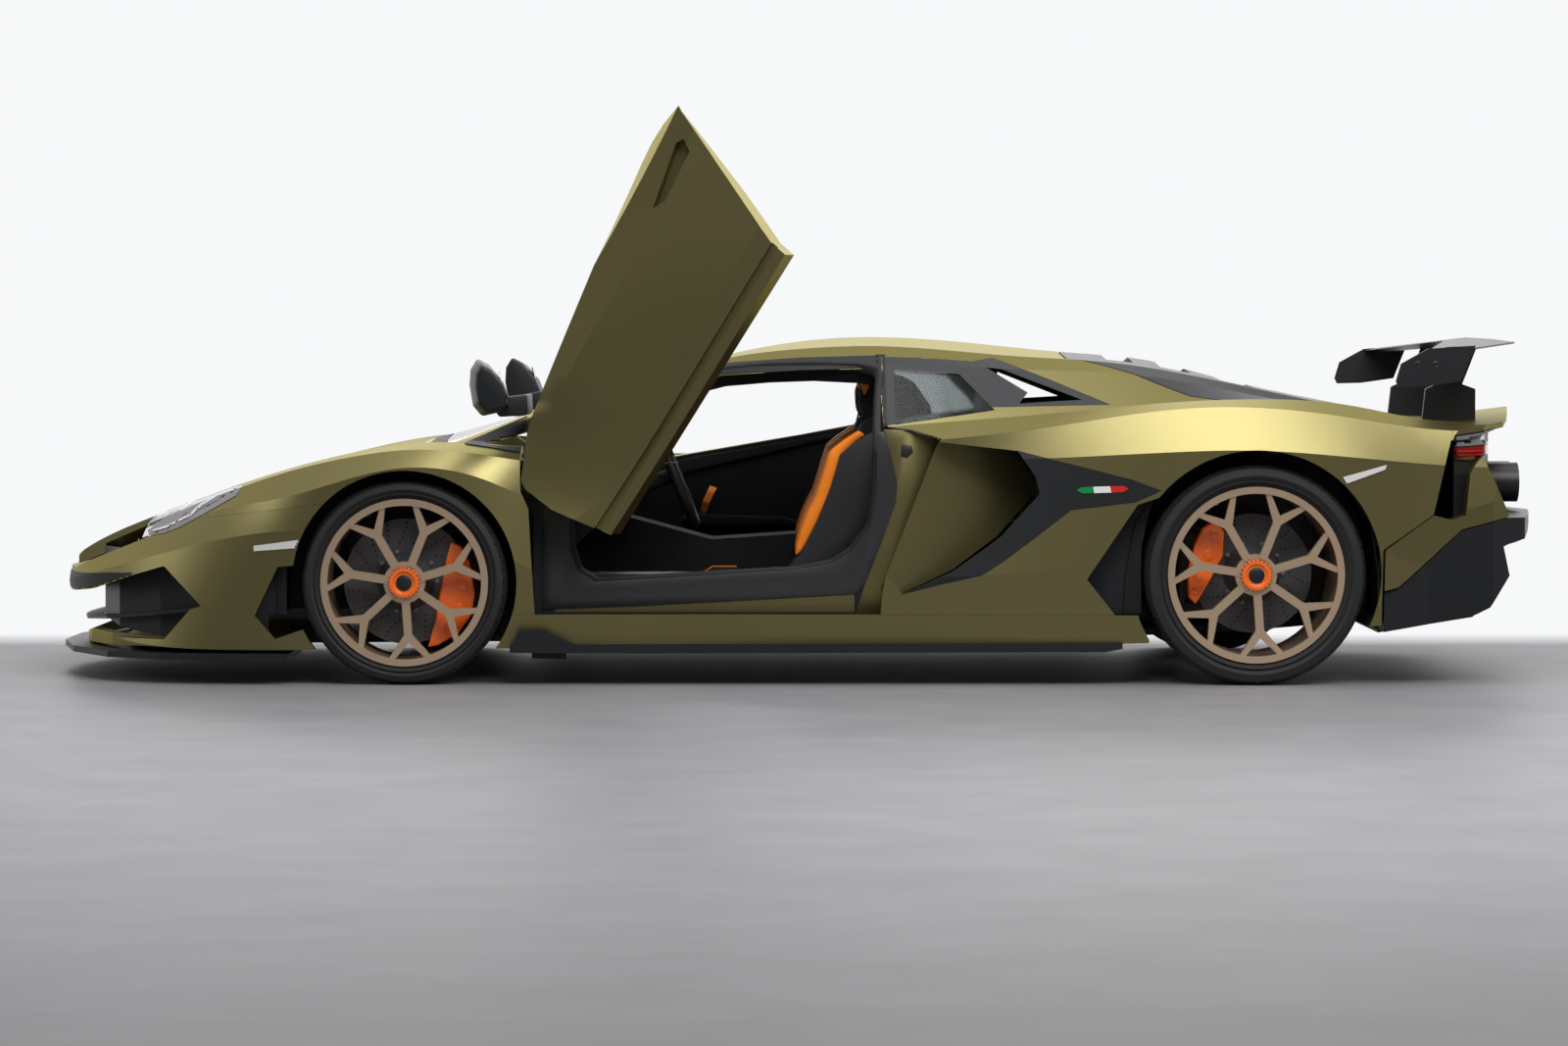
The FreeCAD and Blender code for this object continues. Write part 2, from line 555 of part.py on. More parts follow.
HEADLAMP_shares = [
    (0.4338, 0.405), (0.4173, 0.434), (0.4012, 0.480), (0.3699, 0.554), (0.3699, 0.588),
    (0.3870, 0.579), (0.4277, 0.489),
]
LAMP_IN_share = 0.4957
headlamp_inner = at(0, LAMP_IN_share, 0).y
headlamp = outer_skin.common(side_prism(HEADLAMP_shares, headlamp_inner, OVERRUN, -SEAM_GAP))
headlamp = headlamp.cut([gap_plan(BONNET_shares, SHUT_GAP), gap_side(BUMPER_shares, SEAM_GAP)])
add_node("headlamps", both_sides(largest(headlamp)))
headlamp_hole = side_prism(HEADLAMP_shares, headlamp_inner, OVERRUN)
door_clear = gap_side(DOOR_shares, SHUT_GAP)
windows = side_prism(WINDOW_shares).fuse([side_prism(QUARTER_WINDOW_shares), side_prism(CHEEK_shares)])
frame_clear = gap_side(SIDE_FRAME_shares, SEAM_GAP)
cover_clear = gap_plan(ENGINE_COVER_shares, SHUT_GAP, cover_low, OVERRUN)
add_node("underfloor", largest(outer_skin.common(floor_block).cut(steer_arch)))
mouth = side_prism(MOUTH_shares)
vent = side_prism(VENT_shares)
bumper = outer_skin.common(bumper_block).cut([floor_clear, mouth, vent])
chin = plan_prism(CHIN_PLAN_shares).common(side_prism(CHIN_shares))
bumper_parts = bumper.Solids
bumper = bumper.fuse([chin, mirrored(chin)])
add_node("front_bumper", largest(bumper))
duct_low = at(0, 0, DUCT_Z_shares[0]).z
duct_high = at(0, 0, DUCT_Z_shares[1]).z
inner_form = creased_solid(OUTER_CREASES, CENTRE_shares, SKIN + SEAM_GAP, 2)
duct_wall = plan_prism(DUCT_WALL_shares, duct_low, duct_high).common(inner_form)
intake_blade = plan_prism(BLADE_PLAN_shares).common(side_prism(BLADE_shares))
strut_near = at(0, STRUT_Y_shares[0], 0).y
strut_far = at(0, STRUT_Y_shares[1], 0).y
strut = side_prism(STRUT_shares, strut_near, strut_far).common(inner_form)
half_duct = duct_wall.fuse([intake_blade, strut]).cut([chin, floor_clear])
ducts = half_duct.fuse(mirrored(half_duct))
add_node("nose_ducts", largest(ducts))
bonnet = outer_skin.common(plan_prism(BONNET_shares)).cut(
    [gap_side(BUMPER_shares, SHUT_GAP), floor_clear],
)
BONNET_ARM_shares = [
    (0.2265, 0.619), (0.2265, 0.644), (0.2342, 0.653), (0.2648, 0.679), (0.2709, 0.679),
    (0.2444, 0.633), (0.2338, 0.619),
]
ARM_IN_share = 0.6635
ARM_OUT_share = 0.6826
bonnet_arm = side_prism(
    BONNET_ARM_shares,
    at(0, ARM_IN_share, 0).y,
    at(0, ARM_OUT_share, 0).y,
).common(outer_void)
bonnet_hinge = V(sheet.get("bonnet_hinge_x"), 0, sheet.get("bonnet_hinge_z"))
bonnet_eye = rod(bonnet_hinge, bonnet_hinge + V(0, OVERRUN, 0), LID_PIN + BEARING_GAP)
bonnet_arm = bonnet_arm.cut(bonnet_eye)
bonnet = largest(bonnet).fuse([bonnet_arm, mirrored(bonnet_arm)])
add_node("bonnet", largest(bonnet))
fender = outer_skin.common(ahead_of_door).common(left_half)
fender = fender.cut(
    [gap_plan(BONNET_shares, SHUT_GAP), gap_side(BUMPER_shares, SEAM_GAP), floor_clear, sill_clear],
)
BONNET_ROOM_shares = [
    (0.2346, 0.641), (0.2346, 0.672), (0.2265, 0.672), (0.2265, 0.719), (0.2171, 0.719),
    (0.2171, 0.641),
]
bonnet_room = plan_prism(BONNET_ROOM_shares, bonnet_hinge.z - 2 * LID_PIN, OVERRUN)
BONNET_EDGE_shares = [
    (0.2159, 0.477), (0.2688, 0.477), (0.2688, 0.724), (0.2159, 0.724),
]
bonnet_edge = gap_plan(BONNET_shares, 2 * SHUT_GAP).common(plan_prism(BONNET_EDGE_shares))
fender = fender.cut([headlamp_hole, bonnet_room, bonnet_edge])
add_pair("front_fender", largest(fender))
sills = outer_skin.common(sill_block)
add_node("sills", sills)

# The rear quarter, its side intake and the deck with its raised lip
REAR_CORNER_shares = [
    (-0.4081, 0.487), (-0.3758, 0.388), (-0.3758, 0.271), (-0.3847, 0.281), (-0.4267, 0.446),
    (-0.4597, 0.482), (-0.4413, 0.655), (-0.4371, 0.637), (-0.4326, 0.606), (-0.4293, 0.486),
    (-0.4204, 0.473),
]
DIFFUSER_SIDE_shares = [
    (-0.4969, 0.474), (-0.4582, 0.478), (-0.4267, 0.442), (-0.3847, 0.277), (-0.3760, 0.266),
    (-0.3758, 0.181), (-0.3758, 0.152), (-0.4363, 0.200), (-0.4460, 0.220), (-0.4599, 0.310),
    (-0.4554, 0.395), (-0.4969, 0.467),
]
cover_hinge = V(sheet.get("cover_hinge_x"), 0, sheet.get("cover_hinge_z"))
LUG_IN_share = 0.3527
TAB_IN_share = 0.3699
lug_in = at(0, LUG_IN_share, 0).y
tab_in = at(0, TAB_IN_share, 0).y
TAB_SIZE = 2 * LID_PIN
tab_low = cover_hinge.z - LID_PIN
tab_high = cover_hinge.z + LID_PIN
TAB_REACH = 5 * LID_PIN
HINGE_END_share = 0.4614
room_out = at(0, HINGE_END_share, 0).y
room_low = tab_low - TAB_SIZE
hinge_room = block(cover_hinge.x - TAB_REACH, cover_hinge.x + TAB_REACH, 0, room_out, room_low, OVERRUN)
COVER_CORNER_shares = [
    (-0.3961, 0.410), (-0.3961, 0.477), (-0.3921, 0.488), (-0.3859, 0.516), (-0.3792, 0.549),
    (-0.3768, 0.549), (-0.3768, 0.410),
]
DOOR_PATH_shares = [
    (-0.0468, 0.201), (-0.0507, 0.201), (-0.0515, 0.244), (-0.0525, 0.281), (-0.0542, 0.310),
    (-0.0519, 0.314), (-0.0468, 0.271),
]
quarter = outer_skin.common(behind_door).common(left_half)
scoop_void = side_prism(SCOOP_shares, 0, OVERRUN)
quarter = quarter.cut([
    door_clear,
    gap_side(TAIL_shares, SEAM_GAP),
    gap_plan(DECK_PLAN_shares, SEAM_GAP),
    floor_clear,
    sill_clear,
    cover_clear,
    frame_clear,
    scoop_void,
    gap_side(TRIM_shares, SEAM_GAP),
    side_prism(SIDE_VENT_shares),
    gap_side(REAR_CORNER_shares, SEAM_GAP),
    gap_side(DIFFUSER_SIDE_shares, SEAM_GAP),
    side_prism(DOOR_PATH_shares),
    plan_prism(COVER_CORNER_shares, room_low, OVERRUN),
])
scoop_low = at(0, 0, SCOOP_Z_shares[0]).z
scoop_high = at(0, 0, SCOOP_Z_shares[1]).z
scoop = plan_prism(SCOOP_PLAN_shares, scoop_low, scoop_high)
scoop = scoop.common(gap_side(SCOOP_shares, 2 * SKIN)).common(outer_form).cut(door_clear)
buttress = cabin_shell.common(behind_door).common(left_half)
buttress = buttress.cut([
    gap_plan(ROOF_PANEL_shares, SEAM_GAP),
    gap_plan(ENGINE_COVER_shares, SHUT_GAP),
    gap_plan(DECK_PLAN_shares, SEAM_GAP),
    frame_clear,
    door_clear,
    windows,
])
quarter = largest(quarter).fuse([largest(buttress), scoop])
quarter = largest(quarter).cut([gap_side(TRIM_shares, SEAM_GAP), hinge_room])
add_pair("rear_quarter", largest(quarter))
trim = outer_skin.common(side_prism(TRIM_shares, 0, OVERRUN))
trim_zone = side_prism(TRIM_shares, 0, OVERRUN).fuse(scoop_void)
duct_end = plan_prism(DUCT_END_shares, scoop_low, scoop_high).common(trim_zone).common(outer_form)
trim = trim.fuse(duct_end).cut(scoop)
add_node("intake_trims", both_sides(largest(trim)))
side_frame = cabin_shell.common(side_prism(SIDE_FRAME_shares, 0, OVERRUN)).cut([windows, door_clear])
add_node("side_frames", both_sides(largest(side_frame)))
deck = outer_skin.common(gap_side(TAIL_shares, 0).fuse(plan_prism(DECK_PLAN_shares)))
deck = deck.common(plan_prism(LIP_PLAN_shares)).cut([floor_clear, cover_clear, below_deck])
add_node("rear_deck", largest(deck))

roof = cabin_shell.common(plan_prism(ROOF_PANEL_shares)).cut([windows, door_clear, frame_clear])
add_node("roof", largest(roof))
screen_frame = cabin_shell.common(block(screen_back + SEAM_GAP, OVERRUN, -OVERRUN, OVERRUN, 0, OVERRUN))
screen_frame = screen_frame.cut([plan_prism(SCREEN_shares), windows, door_clear])
HINGE_IN_share = 0.6006
HINGE_OUT_share = 0.6883
hinge_in = at(0, HINGE_IN_share, 0)
hinge_out = at(0, HINGE_OUT_share, 0)
bonnet_pin = rod(bonnet_hinge + hinge_in, bonnet_hinge + hinge_out, LID_PIN)
screen_frame = largest(screen_frame).fuse([bonnet_pin, mirrored(bonnet_pin)])
add_node("screen_frame", largest(screen_frame))
SCREEN_FOOT_share = 0.6679
above_cowl = block(-OVERRUN, OVERRUN, -OVERRUN, OVERRUN, at(0, 0, SCREEN_FOOT_share).z, OVERRUN)
windscreen = glass_shell.common(gap_plan(SCREEN_shares, -SEAM_GAP)).common(above_cowl)
add_node("windscreen", largest(windscreen))
quarter_glass = glass_shell.common(gap_side(QUARTER_WINDOW_shares, -SEAM_GAP))
add_node("quarter_glass", quarter_glass)
engine_cover = cabin_shell.common(plan_prism(ENGINE_COVER_shares)).common(above_cowl)
louvre_half = at(0, LOUVRE_Y_share, 0).y
for slot_front, slot_back in LOUVRE_X_shares:
    slot = block(at(slot_back, 0, 0).x, at(slot_front, 0, 0).x, -louvre_half, louvre_half, 0, OVERRUN)
    engine_cover = engine_cover.cut(slot)
cover_tab = block(cover_hinge.x, cover_hinge.x + TAB_REACH, tab_in, tab_in + TAB_SIZE, tab_low, tab_high)
cover_eye = rod(cover_hinge + V(0, tab_in, 0), cover_hinge + V(0, tab_in + TAB_SIZE, 0), TAB_SIZE)
eye_hole = rod(cover_hinge, cover_hinge + V(0, OVERRUN, 0), LID_PIN + BEARING_GAP)
cover_tab = cover_tab.fuse(cover_eye).cut(eye_hole)
engine_cover = largest(engine_cover).fuse([cover_tab, mirrored(cover_tab)])
add_node("engine_cover", largest(engine_cover))

# The rear: a curved black wall with the lamps, painted corners and the exhausts
fascia = plan_prism(FASCIA_PLAN_shares, fascia_low, fascia_high)
rear_wall = cabin_shell.common(plan_prism(DECK_PLAN_shares)).cut(
    plan_prism(LIP_PLAN_shares, deck_low, OVERRUN),
)
cover_lug = block(
    cover_hinge.x - TAB_REACH - TAB_SIZE,
    cover_hinge.x + LID_PIN,
    lug_in,
    lug_in + TAB_SIZE,
    tab_low,
    tab_high,
)
cover_pin = rod(
    cover_hinge + V(0, lug_in, 0),
    cover_hinge + V(0, tab_in + TAB_SIZE + SEAM_GAP, 0),
    LID_PIN,
)
cover_lug = cover_lug.fuse(cover_pin)
EXHAUST_CENTRE_shares = (-0.4888, 0.0858, 0.5611)
EXHAUST_FRONT_share = -0.4053
exhaust_tip = at(*EXHAUST_CENTRE_shares)
exhaust_front = at(EXHAUST_FRONT_share, *EXHAUST_CENTRE_shares[1:])
EXHAUST_RADIUS = 3 * SKIN
BORE_share = 0.86
exhaust_hole = rod(exhaust_front, exhaust_tip, EXHAUST_RADIUS + SEAT_GAP)
bridge = block(
    at(BRIDGE_X_shares[0], 0, 0).x,
    at(BRIDGE_X_shares[1], 0, 0).x,
    lug_in,
    lug_in + TAB_SIZE,
    fascia_low,
    tab_high,
)
fascia = fascia.fuse([rear_wall, cover_lug, mirrored(cover_lug), bridge, mirrored(bridge)])
fascia = fascia.cut([exhaust_hole, mirrored(exhaust_hole), deck])
add_node("rear_fascia", largest(fascia))
lamp_low = at(0, 0, LAMP_Z_shares[0]).z
lamp_high = at(0, 0, LAMP_Z_shares[1]).z
tail_lamp = plan_prism(LAMP_PLAN_shares, lamp_low, lamp_high).cut([fascia, deck])
add_node("tail_lamps", both_sides(largest(tail_lamp)))


# Doors: thick panels on scissor hinges, the left one open

HINGE_LEAN_shares = (0.10, 1.0, -0.20)
hinge_x = sheet.get("door_hinge_x")
hinge_z = sheet.get("door_hinge_z")
door_angle = sheet.get("door_open")
door = outer_form.common(side_prism(DOOR_shares, door_inner, OVERRUN)).cut(cabin_form)
handle_depth = at(0, HANDLE_Y_share, 0).y
groove = outer_skin.common(side_prism(DOOR_GROOVE_shares, 0, OVERRUN))
DOOR_RELIEF_shares = [
    (-0.0611, 0.786), (-0.0713, 0.816), (-0.0815, 0.856), (-0.0916, 0.898), (-0.0916, 0.667),
    (-0.0611, 0.667),
]
door = largest(
    door.cut([groove, side_prism(HANDLE_shares, handle_depth, OVERRUN), plan_prism(DOOR_RELIEF_shares)]),
)
HINGE_ARM_shares = [
    (0.1629, 0.434), (0.1629, 0.507), (0.1792, 0.534), (0.1864, 0.536), (0.1914, 0.519),
    (0.1884, 0.503), (0.1772, 0.489), (0.1711, 0.434),
]
arm_inner = door_inner + DOOR_DEPTH / 4
arm_outer = door_inner + DOOR_DEPTH / 2
HINGE_PIN = sheet.get("hinge_pin")
hinge_point = V(hinge_x, (arm_inner + arm_outer) / 2, hinge_z)
hinge_axis = V(*HINGE_LEAN_shares).normalize()
hinge_arm = side_prism(HINGE_ARM_shares, arm_inner, arm_outer)
eye_half = (arm_outer - arm_inner) / 2
hinge_eye = Part.makeCylinder(
    2 * HINGE_PIN,
    2 * eye_half,
    hinge_point - hinge_axis * eye_half,
    hinge_axis,
)
pin_hole = Part.makeCylinder(
    HINGE_PIN + BEARING_GAP,
    OVERRUN,
    hinge_point - hinge_axis * OVERRUN / 2,
    hinge_axis,
)
hinge_arm = hinge_arm.fuse(hinge_eye).cut(pin_hole)
door = door.fuse(hinge_arm)
open_door = door.copy()
open_door.rotate(hinge_point, hinge_axis, door_angle)
add_node("door_left", largest(open_door))
add_node("door_right", mirrored(largest(door)))


# Tub: floor, box sills, bulkheads and the lock pillars

RAIL_OUT_share = 0.5148
RAIL_IN_share = 0.2097
COWL_HALF_share = 0.5577
FOOT_HALF_share = 0.5338
SILL_IN_share = 0.6196
RAIL_TOP_share = 0.1946
SILL_HEIGHT_share = 0.3122
FLOOR_HEIGHT_share = 0.1611
FLOOR_LINE_share = 0.1086
SILL_BACK_share = -0.0855
SILL_FRONT_share = 0.1752
TUB_BACK_share = -0.1303
TUB_FRONT_share = 0.2006
room = creased_solid(OUTER_CREASES, CENTRE_shares, SKIN + SEAM_GAP, 2)
cabin_room = creased_solid(CABIN_CREASES, ROOF_CENTRE_shares, ROOF_SKIN + SEAM_GAP, 1)
near_form = creased_solid(OUTER_CREASES, CENTRE_shares, -SEAT_GAP)
near_floor = gap_plan(FLOOR_PLAN_shares, SEAT_GAP, 0, floor_top).common(near_form)
near_chin = side_prism(CHIN_shares, gap=SEAT_GAP).common(gap_plan(CHIN_PLAN_shares, SEAT_GAP))
near_cabin = creased_solid(CABIN_CREASES, ROOF_CENTRE_shares, -SEAT_GAP)
tub_front = at(TUB_FRONT_share, 0, 0).x
tub_back = at(TUB_BACK_share, 0, 0).x
tub_half = door_inner - SHUT_GAP
floor_line = at(0, 0, FLOOR_LINE_share).z
floor_height = at(0, 0, FLOOR_HEIGHT_share).z
sill_height = at(0, 0, SILL_HEIGHT_share).z
sill_in = at(0, SILL_IN_share, 0).y
foot_half = at(0, FOOT_HALF_share, 0).y
sill_front = at(SILL_FRONT_share, 0, 0).x
sill_back = at(SILL_BACK_share, 0, 0).x
cowl_top = at(0, 0, CABIN_BASE_shares[0][2]).z
tub = block(tub_back, sill_front, -tub_half, tub_half, floor_line, floor_height)
tub = tub.fuse(block(sill_front - WALL, tub_front, -foot_half, foot_half, floor_line, floor_height))
for side in (-1, 1):
    outer_y = side * tub_half
    inner_y = side * sill_in
    tub = tub.fuse(
        block(
            sill_back,
            sill_front,
            min(outer_y, inner_y),
            max(outer_y, inner_y),
            floor_line,
            sill_height,
        ),
    )
    wall_y = side * foot_half
    tub = tub.fuse(
        block(
            sill_front - WALL,
            tub_front,
            min(wall_y, wall_y - side * WALL),
            max(wall_y, wall_y - side * WALL),
            floor_line,
            cowl_top,
        ),
    )
    tub = tub.fuse(
        block(
            sill_front - WALL,
            sill_front,
            min(wall_y, outer_y),
            max(wall_y, outer_y),
            floor_line,
            cowl_top,
        ),
    )
    tub = tub.fuse(
        block(
            tub_back,
            sill_back,
            min(outer_y, outer_y - side * WALL),
            max(outer_y, outer_y - side * WALL),
            floor_line,
            cowl_top,
        ),
    )
tub = tub.fuse(block(tub_front - WALL, tub_front, -foot_half, foot_half, floor_line, cowl_top))
tub = tub.fuse(block(tub_back, tub_back + WALL, -tub_half, tub_half, floor_line, cowl_top))
COWL_shares = [
    (0.2006, 0.608), (0.2525, 0.608), (0.2525, 0.665), (0.2505, 0.665), (0.2505, 0.624),
    (0.2006, 0.624),
]
cowl_half = at(0, COWL_HALF_share, 0).y
cowl = side_prism(COWL_shares, -cowl_half, cowl_half)
upper_bulkhead = block(
    tub_back,
    tub_back + WALL,
    -tub_half,
    tub_half,
    floor_line,
    HEIGHT,
).common(cabin_room)
plate_top = hinge_z + 3 * HINGE_PIN
plate = block(
    sill_front - WALL,
    hinge_x + 2 * HINGE_PIN,
    tub_half - 2 * HINGE_PIN,
    tub_half,
    hinge_z - 3 * HINGE_PIN,
    plate_top,
)
pin_start = hinge_point - hinge_axis * (eye_half + 4 * HINGE_PIN)
pin = Part.makeCylinder(HINGE_PIN, 2 * eye_half + 5 * HINGE_PIN, pin_start, hinge_axis)
JAMB_shares = [
    (-0.0554, 0.633), (-0.0916, 0.633), (-0.0916, 0.543), (-0.0558, 0.337),
]
RAIL_X_shares = (-0.0367, 0.0631)
rail_top = at(0, 0, RAIL_TOP_share).z - SEAT_GAP
rail_in = at(0, RAIL_IN_share, 0).y
rail_out = at(0, RAIL_OUT_share, 0).y
rails = [
    block(
        at(RAIL_X_shares[0], 0, 0).x,
        at(RAIL_X_shares[1], 0, 0).x,
        y,
        y + WALL,
        floor_height - WALL / 2,
        rail_top,
    )
    for y in (rail_in, rail_out)
]
tub = tub.common(room).fuse([upper_bulkhead, cowl])
for piece in [plate, pin, *rails]:
    tub = tub.fuse([piece, mirrored(piece)])
jamb = side_prism(JAMB_shares, tub_half - 2 * LINER, tub_half)
jamb_room = side_prism(JAMB_shares, tub_half - 2 * LINER - SEAT_GAP, tub_half + SEAT_GAP, SEAT_GAP)
scoop_room = plan_prism(SCOOP_ROOM_shares, scoop_low - SEAT_GAP, scoop_high + SEAT_GAP)
tub = tub.cut([jamb_room, mirrored(jamb_room), scoop_room, mirrored(scoop_room)])
add_node("jambs", both_sides(jamb))
add_node("monocoque", largest(tub))


# Wheel arch liners, with the black plates behind the vents beside the wheels

FRONT_LINER_shares = [
    (0.1756, 0.136), (0.1745, 0.299), (0.1843, 0.434), (0.2037, 0.534), (0.2281, 0.599),
    (0.2570, 0.621), (0.2859, 0.599), (0.3124, 0.534), (0.3328, 0.425), (0.3395, 0.299),
    (0.3395, 0.136),
]
REAR_LINER_shares = [
    (-0.3741, 0.195), (-0.3739, 0.317), (-0.3690, 0.462), (-0.3523, 0.579), (-0.3259, 0.659),
    (-0.2929, 0.686), (-0.2599, 0.659), (-0.2334, 0.579), (-0.2161, 0.462), (-0.2100, 0.317),
    (-0.2086, 0.195),
]
FRONT_PLATE_shares = [
    (0.3387, 0.362), (0.3344, 0.362), (0.3344, 0.136), (0.3462, 0.113), (0.3595, 0.198),
]
REAR_PLATE_shares = [
    (-0.2098, 0.543), (-0.2301, 0.579), (-0.2240, 0.476), (-0.2200, 0.392), (-0.2200, 0.154),
    (-0.2037, 0.154), (-0.1772, 0.305),
]
FRONT_WINDOW_shares = [
    (0.2138, 0.090), (0.2138, 0.434), (0.3002, 0.434), (0.3002, 0.090),
]
REAR_WINDOW_shares = [
    (-0.3360, 0.090), (-0.3360, 0.457), (-0.2497, 0.457), (-0.2497, 0.090),
]
LINER_INNER_shares = (0.5596, 0.5987)
LINER_OUTER_share = 0.8818
PLATE_Y_share = 0.8627


def liner(outline_shares, plate_shares, window_shares, inner_share):
    """A left arch liner: band, inner wall with a window for the arms, and vent plate."""
    inner = at(0, inner_share, 0).y
    outer = at(0, LINER_OUTER_share, 0).y
    plate = at(0, PLATE_Y_share, 0).y
    band = side_prism(outline_shares, inner, outer).cut(side_prism(outline_shares, inner, outer, -LINER))
    low = block(-OVERRUN, OVERRUN, 0, OVERRUN, 0, at(0, 0, outline_shares[0][1]).z + LINER)
    wall = side_prism(outline_shares, inner, inner + LINER).cut(side_prism(window_shares))
    vent_plate = side_prism(plate_shares, plate, plate + LINER)
    shape = band.cut(low).fuse([wall, vent_plate]).common(inner_form)
    return shape.cut([near_floor, near_cabin, room_for_tub, mirrored(scoop), scoop, trim])


room_for_tub = block(tub_back, sill_front + SEAT_GAP, 0, tub_half + SEAT_GAP, 0, HEIGHT)
front_liner = liner(FRONT_LINER_shares, FRONT_PLATE_shares, FRONT_WINDOW_shares, LINER_INNER_shares[0])
rear_liner = liner(REAR_LINER_shares, REAR_PLATE_shares, REAR_WINDOW_shares, LINER_INNER_shares[1])
liners = [largest(front_liner), largest(rear_liner)]
add_node("arch_liners", Part.makeCompound(liners + [mirrored(piece) for piece in liners]))


# Wheels: each one's tyre, rim and disc turn about its own axle, local Z outward

def origin_plane(body, role):
    """One of a body's own base planes."""
    return next(plane for plane in body.Origin.OriginFeatures if plane.Role == role)


def outline_sketch(body, name, role, corners):
    """A closed outline whose corners follow pairs of expressions."""
    sketch = body.newObject("Sketcher::SketchObject", name)
    sketch.AttachmentSupport = [(origin_plane(body, role), "")]
    sketch.MapMode = "FlatFace"
    count = len(corners)
    points = [tuple(float(sheet.evalExpression(part)) for part in pair) for pair in corners]
    for index in range(count):
        start = V(*points[index], 0)
        end = V(*points[(index + 1) % count], 0)
        sketch.addGeometry(Part.LineSegment(start, end), False)
    for index in range(count):
        sketch.addConstraint(Sketcher.Constraint("Coincident", index, 2, (index + 1) % count, 1))
    for index, pair in enumerate(corners):
        for kind, value, expression in zip(("DistanceX", "DistanceY"), points[index], pair):
            datum = sketch.addConstraint(Sketcher.Constraint(kind, -1, 1, index, 1, value))
            sketch.setExpression("Constraints[%d]" % datum, expression)
    return sketch


def revolve(body, name, corners):
    """A ring from a profile of radius and height, turned about local Z."""
    profile = outline_sketch(body, name + "_profile", "XZ_Plane", corners)
    doc.recompute()
    ring = body.newObject("PartDesign::Revolution", name)
    ring.Profile = profile
    ring.ReferenceAxis = (profile, ["V_Axis"])
    ring.Angle = 360
    doc.recompute()
    return ring


def reflected(corners):
    """A half profile and its mirror image about the middle plane."""
    return corners + [(a, "-(%s)" % b) for a, b in reversed(corners)]


def wheel_sizes(end):
    """Expressions that several pieces of a wheel share."""
    seat = "(Sizes.%s_rim_radius - Sizes.rim_flange)" % end
    edge = "(Sizes.%s_tyre_width / 2 - Sizes.rim_wall)" % end
    return {
        "tyre": "Sizes.%s_tyre_radius" % end,
        "flange": "Sizes.%s_rim_radius" % end,
        "half": "(Sizes.%s_tyre_width / 2)" % end,
        "seat": seat,
        "edge": edge,
        "barrel": "(%s - Sizes.rim_wall)" % seat,
        "hub_back": "(%s - Sizes.spoke_depth - Sizes.hub_depth / 2)" % edge,
    }


def make_tyre(label, end):
    """A hollow tyre, open at its beads."""
    body = doc.addObject("PartDesign::Body", label)
    w = wheel_sizes(end)
    bead = "%s + Sizes.bead_gap" % w["seat"]
    middle = "(%(tyre)s + %(flange)s) / 2" % w
    outside = [
        (bead, "%(edge)s - Sizes.rim_wall - Sizes.bead_gap" % w),
        ("%(flange)s + 2 * Sizes.bead_gap" % w, "%(edge)s - Sizes.rim_wall - Sizes.bead_gap" % w),
        (middle, w["half"]),
        ("%(tyre)s - Sizes.tyre_wall" % w, "%(half)s - Sizes.tyre_wall / 2" % w),
        (w["tyre"], "%(half)s - 3 * Sizes.tyre_wall" % w),
    ]
    inside = [
        ("%(tyre)s - Sizes.tyre_wall" % w, "%(half)s - 3 * Sizes.tyre_wall" % w),
        (middle, "%(half)s - Sizes.tyre_wall" % w),
        (bead, "%(edge)s - Sizes.rim_wall - 2 * Sizes.tyre_wall" % w),
    ]
    lower = [(a, "-(%s)" % b) for a, b in outside[::-1]]
    back = [(a, "-(%s)" % b) for a, b in inside]
    revolve(body, label + "_ring", outside + lower + back[::-1] + inside)
    return body


